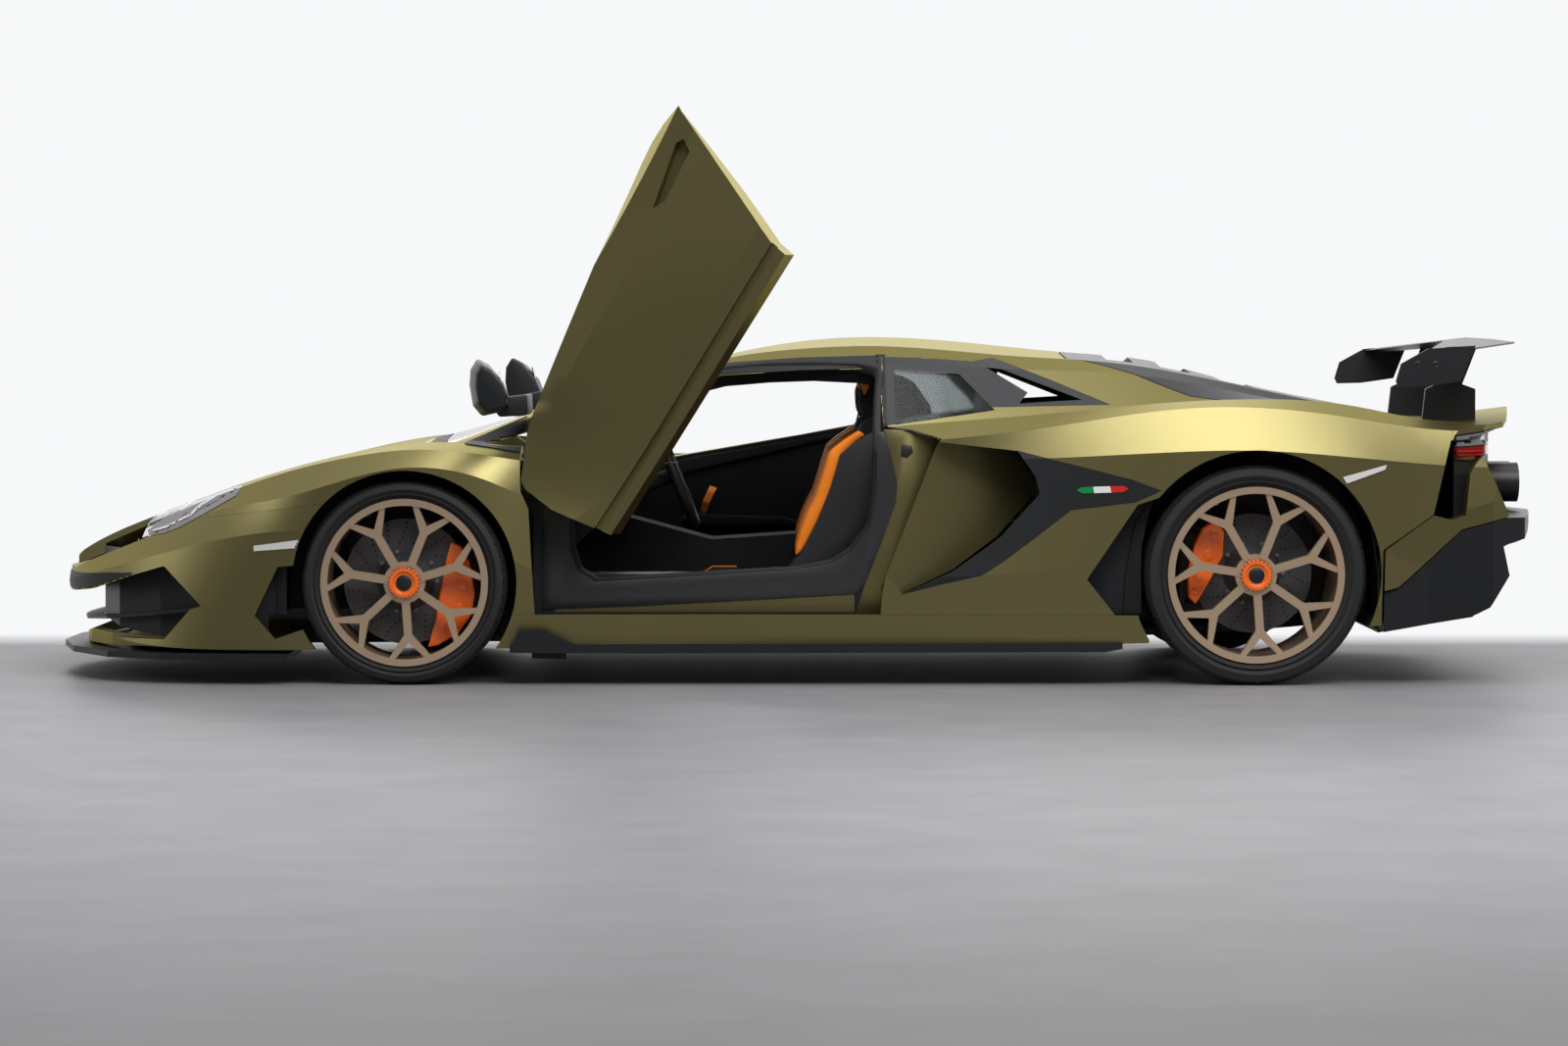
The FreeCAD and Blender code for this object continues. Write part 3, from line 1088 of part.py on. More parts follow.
def make_rim(label, end):
    """A forged rim: barrel, centre and Y spokes."""
    body = doc.addObject("PartDesign::Body", label)
    w = wheel_sizes(end)
    half = [
        (w["barrel"], w["edge"]),
        (w["flange"], w["edge"]),
        (w["flange"], "%(edge)s - Sizes.rim_wall / 2" % w),
        (w["seat"], "%(edge)s - Sizes.rim_wall" % w),
    ]
    revolve(body, label + "_barrel", half + [(a, "-(%s)" % b) for a, b in half[::-1]])
    hub = [
        ("Sizes.hub_radius / 3", "%(edge)s - Sizes.spoke_depth / 3" % w),
        ("Sizes.hub_radius", "%(edge)s - Sizes.spoke_depth / 3" % w),
        ("Sizes.hub_radius", w["hub_back"]),
        ("Sizes.hub_radius / 3", w["hub_back"]),
    ]
    revolve(body, label + "_centre", hub)
    root = "Sizes.hub_radius - Sizes.spoke_width / 2"
    fork = "(Sizes.fork_at * %(seat)s)" % w
    tip = "(%(barrel)s + Sizes.rim_wall / 2)" % w
    lean = "Sizes.spoke_arms * 1 deg"
    arm = "Sizes.spoke_width / 3"
    right = [
        ("Sizes.spoke_width / 2", root),
        ("Sizes.spoke_width / 2", fork),
        ("%s * sin(%s) + %s" % (tip, lean, arm), "%s * cos(%s)" % (tip, lean)),
        ("%s * sin(%s) - %s" % (tip, lean, arm), "%s * cos(%s) + %s / 2" % (tip, lean, arm)),
        ("0", "%s + Sizes.spoke_width" % fork),
    ]
    left = [("-(%s)" % a, b) for a, b in right[:4][::-1]]
    sketch = outline_sketch(body, label + "_spoke_outline", "XY_Plane", right + left)
    sketch.AttachmentOffset = FreeCAD.Placement()
    sketch.setExpression("AttachmentOffset.Base.z", "%(edge)s - Sizes.spoke_back" % w)
    doc.recompute()
    spoke = body.newObject("PartDesign::Pad", label + "_spoke")
    spoke.Profile = sketch
    spoke.setExpression("Length", "Sizes.spoke_depth")
    doc.recompute()
    spokes = body.newObject("PartDesign::PolarPattern", label + "_spokes")
    spokes.Originals = [spoke]
    spokes.Axis = (sketch, ["N_Axis"])
    spokes.Angle = 360
    spokes.setExpression("Occurrences", "Sizes.spoke_count")
    body.Tip = spokes
    doc.recompute()
    return body


def make_disc(label, end, shaft_end):
    """A brake disc with its bell and stub axle."""
    body = doc.addObject("PartDesign::Body", label)
    w = wheel_sizes(end)
    disc = "Sizes.%s_disc_radius" % end
    thick = "Sizes.disc_thickness / 2"
    corners = [
        ("0", w["hub_back"]),
        ("Sizes.hub_radius", w["hub_back"]),
        ("Sizes.hub_radius * 1.4", thick),
        (disc, thick),
        (disc, "-(%s)" % thick),
        ("Sizes.hub_radius * 1.3", "-(%s)" % thick),
        ("Sizes.hub_radius", "0"),
        ("Sizes.shaft_radius", "0"),
        ("Sizes.shaft_radius", shaft_end),
        ("0", shaft_end),
    ]
    revolve(body, label + "_bell", corners)
    return body


def set_wheel(body, end, side, angle=0.0):
    """Put a wheel's piece on its axle, outer face outward."""
    body.setExpression(
        "Placement.Base.x",
        "Sizes.front_axle_x" + (" - Sizes.wheelbase" if end == "rear" else ""),
    )
    body.setExpression("Placement.Base.y", "%d * Sizes.%s_track / 2" % (side, end))
    body.setExpression("Placement.Base.z", "Sizes.%s_tyre_radius" % end)
    turn = FreeCAD.Rotation(V(1, 0, 0), -90 * side) * FreeCAD.Rotation(V(0, 0, 1), angle)
    body.Placement = FreeCAD.Placement(V(0, 0, 0), turn)
    nodes.append(body)


# The rims stand turned a little, as they happened to stop.
RIM_TURN = 4.0
SHAFT_ENDS = {
    "front": "-(Sizes.kingpin_offset + Sizes.stub_reach)",
    "rear": "-(Sizes.rear_track / 2 - Sizes.engine_width / 2 - Sizes.seat_gap)",
}
for end in ("front", "rear"):
    for side, name in ((1, "left"), (-1, "right")):
        corner = "%s_%s" % (end, name)
        set_wheel(make_tyre("tyre_" + corner, end), end, side)
        set_wheel(make_rim("rim_" + corner, end), end, side, RIM_TURN)
        set_wheel(make_disc("disc_" + corner, end, SHAFT_ENDS[end]), end, side)
doc.recompute()


# Knuckles, uprights, calipers and arms

SHAFT = sheet.get("shaft_radius")
KINGPIN_OFFSET = sheet.get("kingpin_offset")
KINGPIN = sheet.get("kingpin_radius")
PAD_GAP = sheet.get("pad_gap")
DISC_HALF = sheet.get("disc_thickness") / 2
FRONT_HALF_TRACK = sheet.get("front_track") / 2
REAR_HALF_TRACK = sheet.get("rear_track") / 2
ARM_HEIGHT_share = 0.36
ARM_THICK_share = 1.4
POST_share = 1.3
UPRIGHT_share = 1.6
ARM_EYE_share = 2.2
ARM_SPREAD_share = 0.035
ARM_HEIGHT = FRONT_TYRE * ARM_HEIGHT_share
ARM_THICK = KINGPIN * ARM_THICK_share
front_hub = V(FRONT_AXLE_X, FRONT_HALF_TRACK, FRONT_TYRE)
rear_hub = V(REAR_AXLE_X, REAR_HALF_TRACK, REAR_TYRE)
pin_y = FRONT_HALF_TRACK - KINGPIN_OFFSET


def upright(hub, inner_y, pin_line_y):
    """A carrier: its bearing tube, its post and its ball pins."""
    outer = hub.y - DISC_HALF - PAD_GAP
    tube = Part.makeCylinder(SHAFT * 2, outer - inner_y, V(hub.x, inner_y, hub.z), V(0, 1, 0))
    post_half = SHAFT * POST_share
    height = ARM_HEIGHT - ARM_THICK
    post = block(
        hub.x - post_half,
        hub.x + post_half,
        inner_y,
        inner_y + SHAFT,
        hub.z - height,
        hub.z + height,
    )
    feet = block(
        hub.x - post_half,
        hub.x + post_half,
        inner_y,
        pin_line_y + post_half,
        hub.z - height,
        hub.z - height + SHAFT,
    )
    head = block(
        hub.x - post_half,
        hub.x + post_half,
        inner_y,
        pin_line_y + post_half,
        hub.z + height - SHAFT,
        hub.z + height,
    )
    pin = Part.makeCylinder(
        KINGPIN,
        2 * (ARM_HEIGHT + ARM_THICK),
        V(hub.x, pin_line_y, hub.z - ARM_HEIGHT - ARM_THICK),
    )
    bore = Part.makeCylinder(SHAFT + BEARING_GAP, OVERRUN, V(hub.x, -OVERRUN / 2, hub.z), V(0, 1, 0))
    return tube.fuse([post, feet, head, pin]).cut(bore)


front_inner = pin_y - SHAFT * UPRIGHT_share
knuckle = upright(front_hub, front_inner, pin_y)
rear_pin_y = REAR_HALF_TRACK - KINGPIN_OFFSET * UPRIGHT_share
rear_upright = upright(rear_hub, rear_pin_y - SHAFT * UPRIGHT_share, rear_pin_y)
CALIPER_SPREAD = 62.0
FRONT_CALIPER_ANGLE = 188.0
REAR_CALIPER_ANGLE = 12.0
DISC_HAT_share = 0.62


def caliper(hub, disc_radius, rim_radius, middle_angle):
    """A caliper astride the disc, its middle at an angle from straight ahead."""
    reach = rim_radius - sheet.get("rim_flange") - 3 * sheet.get("rim_wall")
    half = DISC_HALF + PAD_GAP + SHAFT
    lower = hub - V(0, half, 0)
    start = V(1, 0, 0)
    body = Part.makeCylinder(reach, 2 * half, lower, V(0, 1, 0), CALIPER_SPREAD)
    core = Part.makeCylinder(disc_radius * DISC_HAT_share, 2 * half, lower, V(0, 1, 0))
    slot = Part.makeCylinder(
        disc_radius + PAD_GAP,
        2 * (DISC_HALF + PAD_GAP),
        hub - V(0, DISC_HALF + PAD_GAP, 0),
        V(0, 1, 0),
    )
    piece = largest(body.cut([core, slot]))
    centre = piece.CenterOfMass
    now = FreeCAD.Vector(centre.x - hub.x, 0, centre.z - hub.z)
    turn = math.degrees(math.atan2(now.z, now.x))
    piece.rotate(hub, V(0, -1, 0), middle_angle - turn)
    return piece




def caliper_lug(hub, disc_radius, middle_angle):
    """The upright's arm that carries the caliper."""
    outer = hub.y - DISC_HALF - PAD_GAP
    lug = block(hub.x, hub.x + disc_radius, outer - SHAFT, outer, hub.z - SHAFT, hub.z + SHAFT)
    lug = lug.common(
        Part.makeCylinder(
            disc_radius * DISC_HAT_share - SEAT_GAP,
            OVERRUN,
            V(hub.x, 0, hub.z),
            V(0, 1, 0),
        ),
    )
    bore = Part.makeCylinder(SHAFT + BEARING_GAP, OVERRUN, V(hub.x, -OVERRUN / 2, hub.z), V(0, 1, 0))
    lug.rotate(hub, V(0, -1, 0), middle_angle)
    return lug.cut(bore)


front_caliper = caliper(
    front_hub,
    sheet.get("front_disc_radius"),
    sheet.get("front_rim_radius"),
    FRONT_CALIPER_ANGLE,
)
rear_caliper = caliper(
    rear_hub,
    sheet.get("rear_disc_radius"),
    sheet.get("rear_rim_radius"),
    REAR_CALIPER_ANGLE,
)
knuckle = knuckle.fuse(caliper_lug(front_hub, sheet.get("front_disc_radius"), FRONT_CALIPER_ANGLE))
rear_upright = rear_upright.fuse(caliper_lug(rear_hub, sheet.get("rear_disc_radius"), REAR_CALIPER_ANGLE))
add_pair("knuckle", knuckle)
add_pair("front_caliper", front_caliper)
add_node("rear_uprights", both_sides(rear_upright))
add_node("rear_calipers", both_sides(rear_caliper))


def wishbone(hub, pin_line_y, inner_y, spread, rise):
    """An A-shaped arm with an eye round the ball pin."""
    z = hub.z + rise - ARM_THICK / 2
    eye = KINGPIN * ARM_EYE_share
    points = [V(hub.x - eye, pin_line_y, z), V(hub.x + eye, pin_line_y, z), V(hub.x + spread, inner_y, z)]
    points += [V(hub.x + spread - 2 * eye, inner_y, z), V(hub.x, pin_line_y - 3 * eye, z)]
    points += [V(hub.x - spread + 2 * eye, inner_y, z), V(hub.x - spread, inner_y, z)]
    arm = Part.Face(Part.makePolygon(points + points[:1])).extrude(V(0, 0, ARM_THICK))
    arm = arm.fuse(Part.makeCylinder(eye, ARM_THICK, V(hub.x, pin_line_y, z)))
    return arm.cut(
        Part.makeCylinder(KINGPIN + BEARING_GAP, OVERRUN, V(hub.x, pin_line_y, z - OVERRUN / 2)),
    )


ENGINE_HALF = sheet.get("engine_width") / 2
front_inner_y = ENGINE_HALF + 2 * WALL
rear_inner_y = ENGINE_HALF + 2 * WALL
beam_low = FRONT_TYRE - ARM_HEIGHT - 2 * ARM_THICK
beam_high = REAR_TYRE + ARM_HEIGHT + 2 * ARM_THICK
FRONT_BEAM_shares = (0.2006, 0.3971)
REAR_BEAM_shares = (-0.3870, -0.1303)
front_beam = block(
    at(FRONT_BEAM_shares[0], 0, 0).x + SEAT_GAP,
    at(FRONT_BEAM_shares[1], 0, 0).x,
    ENGINE_HALF + SEAT_GAP,
    front_inner_y - SEAT_GAP,
    beam_low,
    beam_high,
)
rear_beam = block(
    at(REAR_BEAM_shares[0], 0, 0).x,
    at(REAR_BEAM_shares[1], 0, 0).x - SEAT_GAP,
    ENGINE_HALF + SEAT_GAP,
    rear_inner_y - SEAT_GAP,
    beam_low,
    beam_high,
)
shaft_hole = Part.makeCylinder(SHAFT + SHUT_GAP, OVERRUN, V(REAR_AXLE_X, 0, REAR_TYRE), V(0, 1, 0))
beams = [front_beam.common(room), rear_beam.common(room).cut(shaft_hole)]
add_node("subframes", Part.makeCompound(beams + [mirrored(beam) for beam in beams]))
front_arms = [
    wishbone(front_hub, pin_y, front_inner_y, at(ARM_SPREAD_share, 0, 0).x, rise)
    for rise in (ARM_HEIGHT, -ARM_HEIGHT)
]
rear_arms = [
    wishbone(rear_hub, rear_pin_y, rear_inner_y, at(ARM_SPREAD_share, 0, 0).x, rise)
    for rise in (ARM_HEIGHT, -ARM_HEIGHT)
]
add_node("front_arms", Part.makeCompound(front_arms + [mirrored(arm) for arm in front_arms]))
add_node("rear_arms", Part.makeCompound(rear_arms + [mirrored(arm) for arm in rear_arms]))


# Aero pieces: splitter, intake vanes, skirts, diffuser and wing

SPLITTER_shares = [
    (0.5004, -0.172), (0.5004, 0.172), (0.4847, 0.496), (0.4542, 0.763), (0.4175, 0.887),
    (0.3768, 0.939), (0.3320, 0.953), (0.3320, 0.534), (0.4175, 0.400), (0.4175, -0.400),
    (0.3320, -0.534), (0.3320, -0.953), (0.3768, -0.939), (0.4175, -0.887), (0.4542, -0.763),
    (0.4847, -0.496),
]
SPLITTER_LOW_share = 0.0706
SPLITTER_HIGH_share = 0.0887
FENCE_Y_share = 0.2860
splitter_low = at(0, 0, SPLITTER_LOW_share).z
splitter_high = at(0, 0, SPLITTER_HIGH_share).z
SPLITTER_POST_shares = [
    (0.4379, 0.054), (0.4582, 0.054), (0.4481, 0.181), (0.4379, 0.181),
]
splitter = plan_prism(SPLITTER_shares, splitter_low, splitter_high)
fence_y = at(0, FENCE_Y_share, 0).y
fence = side_prism(SPLITTER_POST_shares, fence_y, fence_y + SKIN)
splitter = splitter.fuse([fence, mirrored(fence)]).cut(
    [near_form, near_chin, mirrored(near_chin), ducts, arches],
)
add_node("splitter", largest(splitter))

SKIRT_shares = [
    (0.1886, 0.118), (0.1886, 0.094), (0.1141, 0.092), (-0.1955, 0.096), (-0.2067, 0.105),
    (-0.2067, 0.123),
]
WINGLET_shares = [
    (0.1886, 0.094), (0.1833, 0.157), (0.1662, 0.159), (0.1405, 0.105), (0.1405, 0.094),
]
TAB_shares = [
    (0.1756, 0.100), (0.1756, 0.071), (0.1532, 0.069), (0.1532, 0.100),
]
SKIRT_IN_share = 0.8389
SKIRT_OUT_share = 0.9571
WINGLET_IN_share = 0.9495
skirt_in = at(0, SKIRT_IN_share, 0).y
skirt_out = at(0, SKIRT_OUT_share, 0).y
winglet_in = at(0, WINGLET_IN_share, 0).y
skirt = side_prism(SKIRT_shares, skirt_in, skirt_out)
winglet = side_prism(WINGLET_shares, winglet_in, winglet_in + LINER)
tab = side_prism(TAB_shares, skirt_in, skirt_in + LINER)
skirt = skirt.fuse([winglet, tab]).cut([near_form, arches])
add_node("skirts", both_sides(largest(skirt)))

BEAM_shares = [
    (-0.5010, 0.476), (-0.4554, 0.478), (-0.4481, 0.425), (-0.4481, 0.398), (-0.4554, 0.395),
    (-0.5010, 0.457),
]
RAMP_shares = [
    (-0.3747, 0.145), (-0.4363, 0.190), (-0.4572, 0.299), (-0.4556, 0.302), (-0.4346, 0.198),
    (-0.3747, 0.153),
]
STRAKE_shares = [
    (-0.3747, 0.147), (-0.4363, 0.186), (-0.4607, 0.312), (-0.4607, 0.362), (-0.4554, 0.362),
    (-0.4379, 0.271), (-0.3747, 0.158),
]
STRAKE_Y_shares = (0.1239, 0.3146, 0.5052)
CORNER_IN_share = 0.7989
SIDE_OUT_share = 0.9342
corner_in = at(0, CORNER_IN_share, 0).y
side_out = at(0, SIDE_OUT_share, 0).y
rear_plan = plan_prism(REAR_PLAN_shares)
rear_corner = outer_form.common(
    side_prism(REAR_CORNER_shares, corner_in, OVERRUN),
).common(rear_plan).cut([tail_lamp, fascia, deck, arches])
add_node("rear_corners", both_sides(largest(rear_corner)))
side_plate = side_prism(DIFFUSER_SIDE_shares, corner_in, side_out).common(rear_plan)
beam = side_prism(BEAM_shares, 0, corner_in + WALL).common(rear_plan)
ramp = side_prism(RAMP_shares, 0, corner_in + WALL)
strakes = [
    side_prism(STRAKE_shares, at(0, y_share, 0).y, at(0, y_share, 0).y + LINER)
    for y_share in STRAKE_Y_shares
]
half_diffuser = side_plate.fuse([beam, ramp, *strakes]).cut([rear_corner, fascia, near_floor, arches])
diffuser = half_diffuser.fuse(mirrored(half_diffuser))
add_node("diffuser", largest(diffuser))

WING_ROOT_shares = [
    (-0.4413, 0.990), (-0.4562, 1), (-0.4745, 0.995), (-0.4898, 0.986), (-0.4898, 0.981),
    (-0.4745, 0.981), (-0.4562, 0.977),
]
WING_TIP_shares = [
    (-0.4071, 0.959), (-0.4196, 0.970), (-0.4297, 0.972), (-0.4379, 0.968), (-0.4379, 0.963),
    (-0.4297, 0.959), (-0.4196, 0.954),
]
WING_HALF_share = 0.8055
wing_half = at(0, WING_HALF_share, 0).y
ENDPLATE_shares = [
    (-0.4071, 0.965), (-0.3896, 0.922), (-0.3862, 0.871), (-0.3880, 0.854), (-0.4053, 0.856),
    (-0.4287, 0.871), (-0.4379, 0.974),
]
PYLON_shares = [
    (-0.4134, 0.724), (-0.4165, 0.846), (-0.4297, 0.873), (-0.4379, 0.972), (-0.4511, 0.977),
    (-0.4409, 0.860), (-0.4497, 0.846), (-0.4497, 0.724),
]
PYLON_Y_share = 0.4099
pylon_y = at(0, PYLON_Y_share, 0).y


def section(outline_shares, y):
    """A closed section of the wing at one station."""
    corners = [at(x, 0, z) + V(0, y, 0) for x, z in outline_shares]
    return Part.makePolygon(corners + corners[:1])


near_lip = gap_plan(LIP_PLAN_shares, SEAT_GAP, 0, deck_low).common(near_form)
blade = Part.makeLoft([section(WING_ROOT_shares, 0), section(WING_TIP_shares, wing_half)], True, True)
plate = side_prism(ENDPLATE_shares, wing_half - GLASS, wing_half + GLASS)
pylon = side_prism(PYLON_shares, pylon_y, pylon_y + SKIN)
half_wing = blade.fuse([plate, pylon])
wing = half_wing.fuse(mirrored(half_wing)).cut([near_form, near_lip])
add_node("wing", largest(wing))


# Mirrors

MIRROR_shares = [
    (0.2037, 0.942), (0.2151, 0.881), (0.2151, 0.828), (0.2063, 0.769), (0.1894, 0.787),
    (0.1849, 0.831), (0.1874, 0.905),
]
MIRROR_IN_share = 0.8866
MIRROR_OUT_share = 1.0801
mirror_in = at(0, MIRROR_IN_share, 0).y
mirror_out = at(0, MIRROR_OUT_share, 0).y
mirror_head = side_prism(MIRROR_shares, mirror_in, mirror_out)
mirror_arm = rod(at(0.1955, 0.6101, 0.7149), at(0.2016, 0.9152, 0.8145), SKIN / 2)
mirror = mirror_head.fuse(mirror_arm).cut([near_cabin, near_form])
add_node("mirrors", both_sides(largest(mirror)))


# Cabin: seats, dashboard, steering wheel and console

SEAT_shares = [
    (0.0672, 0.195), (0.0672, 0.262), (0.0041, 0.244), (-0.0122, 0.271), (-0.0672, 0.760),
    (-0.0896, 0.778), (-0.0957, 0.751), (-0.0407, 0.195),
]
HEADREST_shares = [
    (-0.0611, 0.706), (-0.0481, 0.787), (-0.0473, 0.882), (-0.0534, 0.894), (-0.0717, 0.889),
    (-0.0896, 0.776), (-0.0855, 0.706),
]
SEAT_Y_share = 0.3670
SEAT_HALF_share = 0.2240
HEADREST_HALF_share = 0.1239
seat_y = at(0, SEAT_Y_share, 0).y
seat_half = at(0, SEAT_HALF_share, 0).y
headrest_half = at(0, HEADREST_HALF_share, 0).y
BOLSTER_shares = [
    (0.0611, 0.195), (0.0611, 0.308), (0.0081, 0.317), (-0.0020, 0.362), (-0.0367, 0.633),
    (-0.0611, 0.652), (-0.0672, 0.579), (-0.0305, 0.195),
]
seat = side_prism(SEAT_shares, seat_y - seat_half, seat_y + seat_half)
bolster = side_prism(BOLSTER_shares, seat_y + seat_half - 2 * SKIN, seat_y + seat_half)
far_bolster = side_prism(BOLSTER_shares, seat_y - seat_half, seat_y - seat_half + 2 * SKIN)
headrest = side_prism(HEADREST_shares, seat_y - headrest_half, seat_y + headrest_half)
seat = seat.fuse([bolster, far_bolster, headrest])
add_pair("seat", largest(seat))
DASH_shares = [
    (0.1935, 0.597), (0.1935, 0.362), (0.1548, 0.362), (0.1303, 0.471), (0.1222, 0.579),
    (0.1303, 0.633), (0.1548, 0.665), (0.1833, 0.665),
]
DASH_HALF_share = 0.6578
dash_half = at(0, DASH_HALF_share, 0).y
dash = side_prism(DASH_shares, -dash_half, dash_half)
shoulder = block(sill_front - WALL - SEAT_GAP, OVERRUN, foot_half - WALL - SEAT_GAP, OVERRUN, 0, HEIGHT)
dash = dash.cut([shoulder, mirrored(shoulder), tub, cabin_shell])
add_node("dashboard", largest(dash))
CONSOLE_shares = [
    (0.1548, 0.362), (0.1303, 0.471), (0.1141, 0.452), (0.0611, 0.389), (-0.0611, 0.425),
    (-0.1222, 0.507), (-0.1222, 0.163), (0.1548, 0.163),
]
CONSOLE_HALF_share = 0.1335
console_half = at(0, CONSOLE_HALF_share, 0).y
console = side_prism(CONSOLE_shares, -console_half, console_half).cut([dash, tub])
add_node("console", largest(console))
wheel_centre = at(0.0845, 0.3670, 0.5928)
RING_share = 0.0356
ring_radius = at(RING_share, 0, 0).x
GRIP_share = 0.7
HUB_share = 0.36
COLUMN_share = 1.6
COLUMN_TILT = 68
grip = SKIN * GRIP_share
ring = Part.makeTorus(ring_radius, grip)
hub = Part.makeCylinder(ring_radius * HUB_share, 2 * grip, V(0, 0, -grip))
spoke_bar = Part.makeBox(2 * ring_radius, grip * 2, grip, V(-ring_radius, -grip, -grip / 2))
lower_bar = Part.makeBox(grip * 2, ring_radius, grip, V(-grip, -ring_radius, -grip / 2))
column = Part.makeCylinder(grip * COLUMN_share, 2 * ring_radius, V(0, 0, -2 * ring_radius))
steering = ring.fuse([hub, spoke_bar, lower_bar, column])
steering.rotate(V(0, 0, 0), V(0, 0, 1), -90)
steering.rotate(V(0, 0, 0), V(0, 1, 0), -COLUMN_TILT)
steering.translate(wheel_centre)
steering = steering.cut(dash)
add_node("steering_wheel", largest(steering))


# Engine block behind the cabin, with exhaust

engine = doc.addObject("Part::Box", "engine")
engine.Label = "engine"
engine.setExpression("Length", "Sizes.engine_length")
engine.setExpression("Width", "Sizes.engine_width")
engine.setExpression("Height", "Sizes.engine_height")
engine.setExpression(
    "Placement.Base.x",
    "Sizes.front_axle_x - Sizes.wheelbase + Sizes.engine_ahead - Sizes.engine_length",
)
engine.setExpression("Placement.Base.y", "-Sizes.engine_width / 2")
engine.setExpression("Placement.Base.z", "Sizes.engine_foot")
nodes.append(engine)
doc.recompute()
silencer = rod(exhaust_front, exhaust_tip, EXHAUST_RADIUS)
bore = rod(exhaust_front + V(-4 * SKIN, 0, 0), exhaust_tip + V(-SKIN, 0, 0), EXHAUST_RADIUS * BORE_share)
add_node("exhaust", both_sides(silencer.cut(bore)))


# Checks and files

doc.recompute()
for item in doc.Objects:
    if "Invalid" in item.State or "Error" in item.State:
        raise RuntimeError(item.Label + " failed")
os.makedirs("parts", exist_ok=True)
for node in nodes:
    shape = node.Shape
    if shape.isNull() or not shape.isValid():
        raise RuntimeError(node.Label + " has no sound shape")
    shape.exportStep("parts/%s.step" % node.Label)
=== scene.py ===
# %% [markdown]
# # A low sports car with a scissor door
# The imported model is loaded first. Every visible piece is placed on it, so the numbers
# below are metres in the model's own frame: +X to the nose, +Y to the car's left, +Z up.

# %% Load the model
import json
import math
import bpy
from mathutils import Matrix, Vector

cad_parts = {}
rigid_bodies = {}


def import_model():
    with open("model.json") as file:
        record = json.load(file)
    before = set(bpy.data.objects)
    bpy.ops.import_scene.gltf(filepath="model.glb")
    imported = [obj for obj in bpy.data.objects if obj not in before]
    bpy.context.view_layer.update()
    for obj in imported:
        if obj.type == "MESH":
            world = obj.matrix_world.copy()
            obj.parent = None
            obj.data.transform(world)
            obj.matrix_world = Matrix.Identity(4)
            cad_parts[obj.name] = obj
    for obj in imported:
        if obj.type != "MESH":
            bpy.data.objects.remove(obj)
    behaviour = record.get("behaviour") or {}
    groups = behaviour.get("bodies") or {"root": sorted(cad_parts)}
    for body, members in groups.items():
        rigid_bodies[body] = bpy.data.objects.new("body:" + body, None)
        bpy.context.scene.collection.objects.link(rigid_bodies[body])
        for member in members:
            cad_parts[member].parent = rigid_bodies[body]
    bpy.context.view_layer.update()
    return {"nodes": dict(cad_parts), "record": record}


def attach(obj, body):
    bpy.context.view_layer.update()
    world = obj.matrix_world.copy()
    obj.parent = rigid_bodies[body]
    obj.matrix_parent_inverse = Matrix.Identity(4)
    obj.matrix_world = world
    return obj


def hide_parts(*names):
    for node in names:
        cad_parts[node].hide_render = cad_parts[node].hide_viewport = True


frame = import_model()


def quiet():
    """Deselect everything, because an operator acts on all that is selected."""
    if bpy.context.object and bpy.context.object.mode != "OBJECT":
        bpy.ops.object.mode_set(mode="OBJECT")
    bpy.ops.object.select_all(action="DESELECT")


def pick(*pieces):
    """Select only these pieces and make the first one the active one."""
    quiet()
    for piece in pieces:
        piece.select_set(True)
    bpy.context.view_layer.objects.active = pieces[0]


quiet()

# %% [markdown]
# ## Camera
# The photograph was taken from far off with a long lens, level with the roof, so the
# wheels stay round and the far side hardly shrinks. A lens of 109 mm at 16 m does the
# same here, tipped down by two degrees.

# %% Camera
LENS = 108.9
CAMERA_PLACE = (0.0575, 16.0, 1.06)
CAMERA_TILT = 2.08
eye = bpy.data.cameras.new("camera")
eye.lens = LENS
eye.sensor_width = 36.0
eye.clip_end = 200.0
camera = bpy.data.objects.new("camera", eye)
bpy.context.scene.collection.objects.link(camera)
camera.location = CAMERA_PLACE
camera.rotation_euler = (math.radians(90 - CAMERA_TILT), 0, math.radians(180))
bpy.context.scene.camera = camera
print("camera at", tuple(camera.location))

# %% [markdown]
# ## Studio
# A grey screed floor turns into a white cove just behind the car, and the world is white to
# the camera, as a paper backdrop is. Paint and metal mirror the same studio: white behind the
# car and overhead, dark on the side of the camera. The lamps are wide panels, one above and
# one on each side, which give the long soft highlights that show how the panels bend.

# %% Studio
BACKDROP = (0.93, 0.94, 0.95, 1)
COVE_START, COVE_END = -1.05, -1.75


def add(nodes, kind, **inputs):
    """A new shader node with some of its inputs set."""
    node = nodes.new("ShaderNode" + kind)
    for socket, value in inputs.items():
        node.inputs[socket.replace("_", " ")].default_value = value
    return node


def wire(source, output, target, socket):
    """Link an output of one node to an input of another."""
    source.id_data.links.new(source.outputs[output], target.inputs[socket])


world = bpy.data.worlds.new("studio")
bpy.context.scene.world = world
world.use_nodes = True
nodes = world.node_tree.nodes
nodes.clear()
shown = add(nodes, "Background", Color=BACKDROP)
lighting = add(nodes, "Background", Color=(0.80, 0.84, 0.90, 1), Strength=0.20)
room = add(nodes, "Background")
toward = add(nodes, "TexCoord")
parts_of = add(nodes, "SeparateXYZ")
depth_tone = add(nodes, "MapRange", From_Min=-0.35, From_Max=0.45, To_Min=0.93, To_Max=0.10)
height_tone = add(nodes, "MapRange", From_Min=0.15, From_Max=0.95, To_Min=0.0, To_Max=0.34)
brighter = add(nodes, "Math")
brighter.operation = "MAXIMUM"
path = add(nodes, "LightPath")
either = add(nodes, "Math")
either.operation = "MAXIMUM"
mix = add(nodes, "MixShader")
mirror_mix = add(nodes, "MixShader")
out = add(nodes, "OutputWorld")
wire(toward, "Generated", parts_of, "Vector")
wire(parts_of, "Y", depth_tone, "Value")
wire(parts_of, "Z", height_tone, "Value")
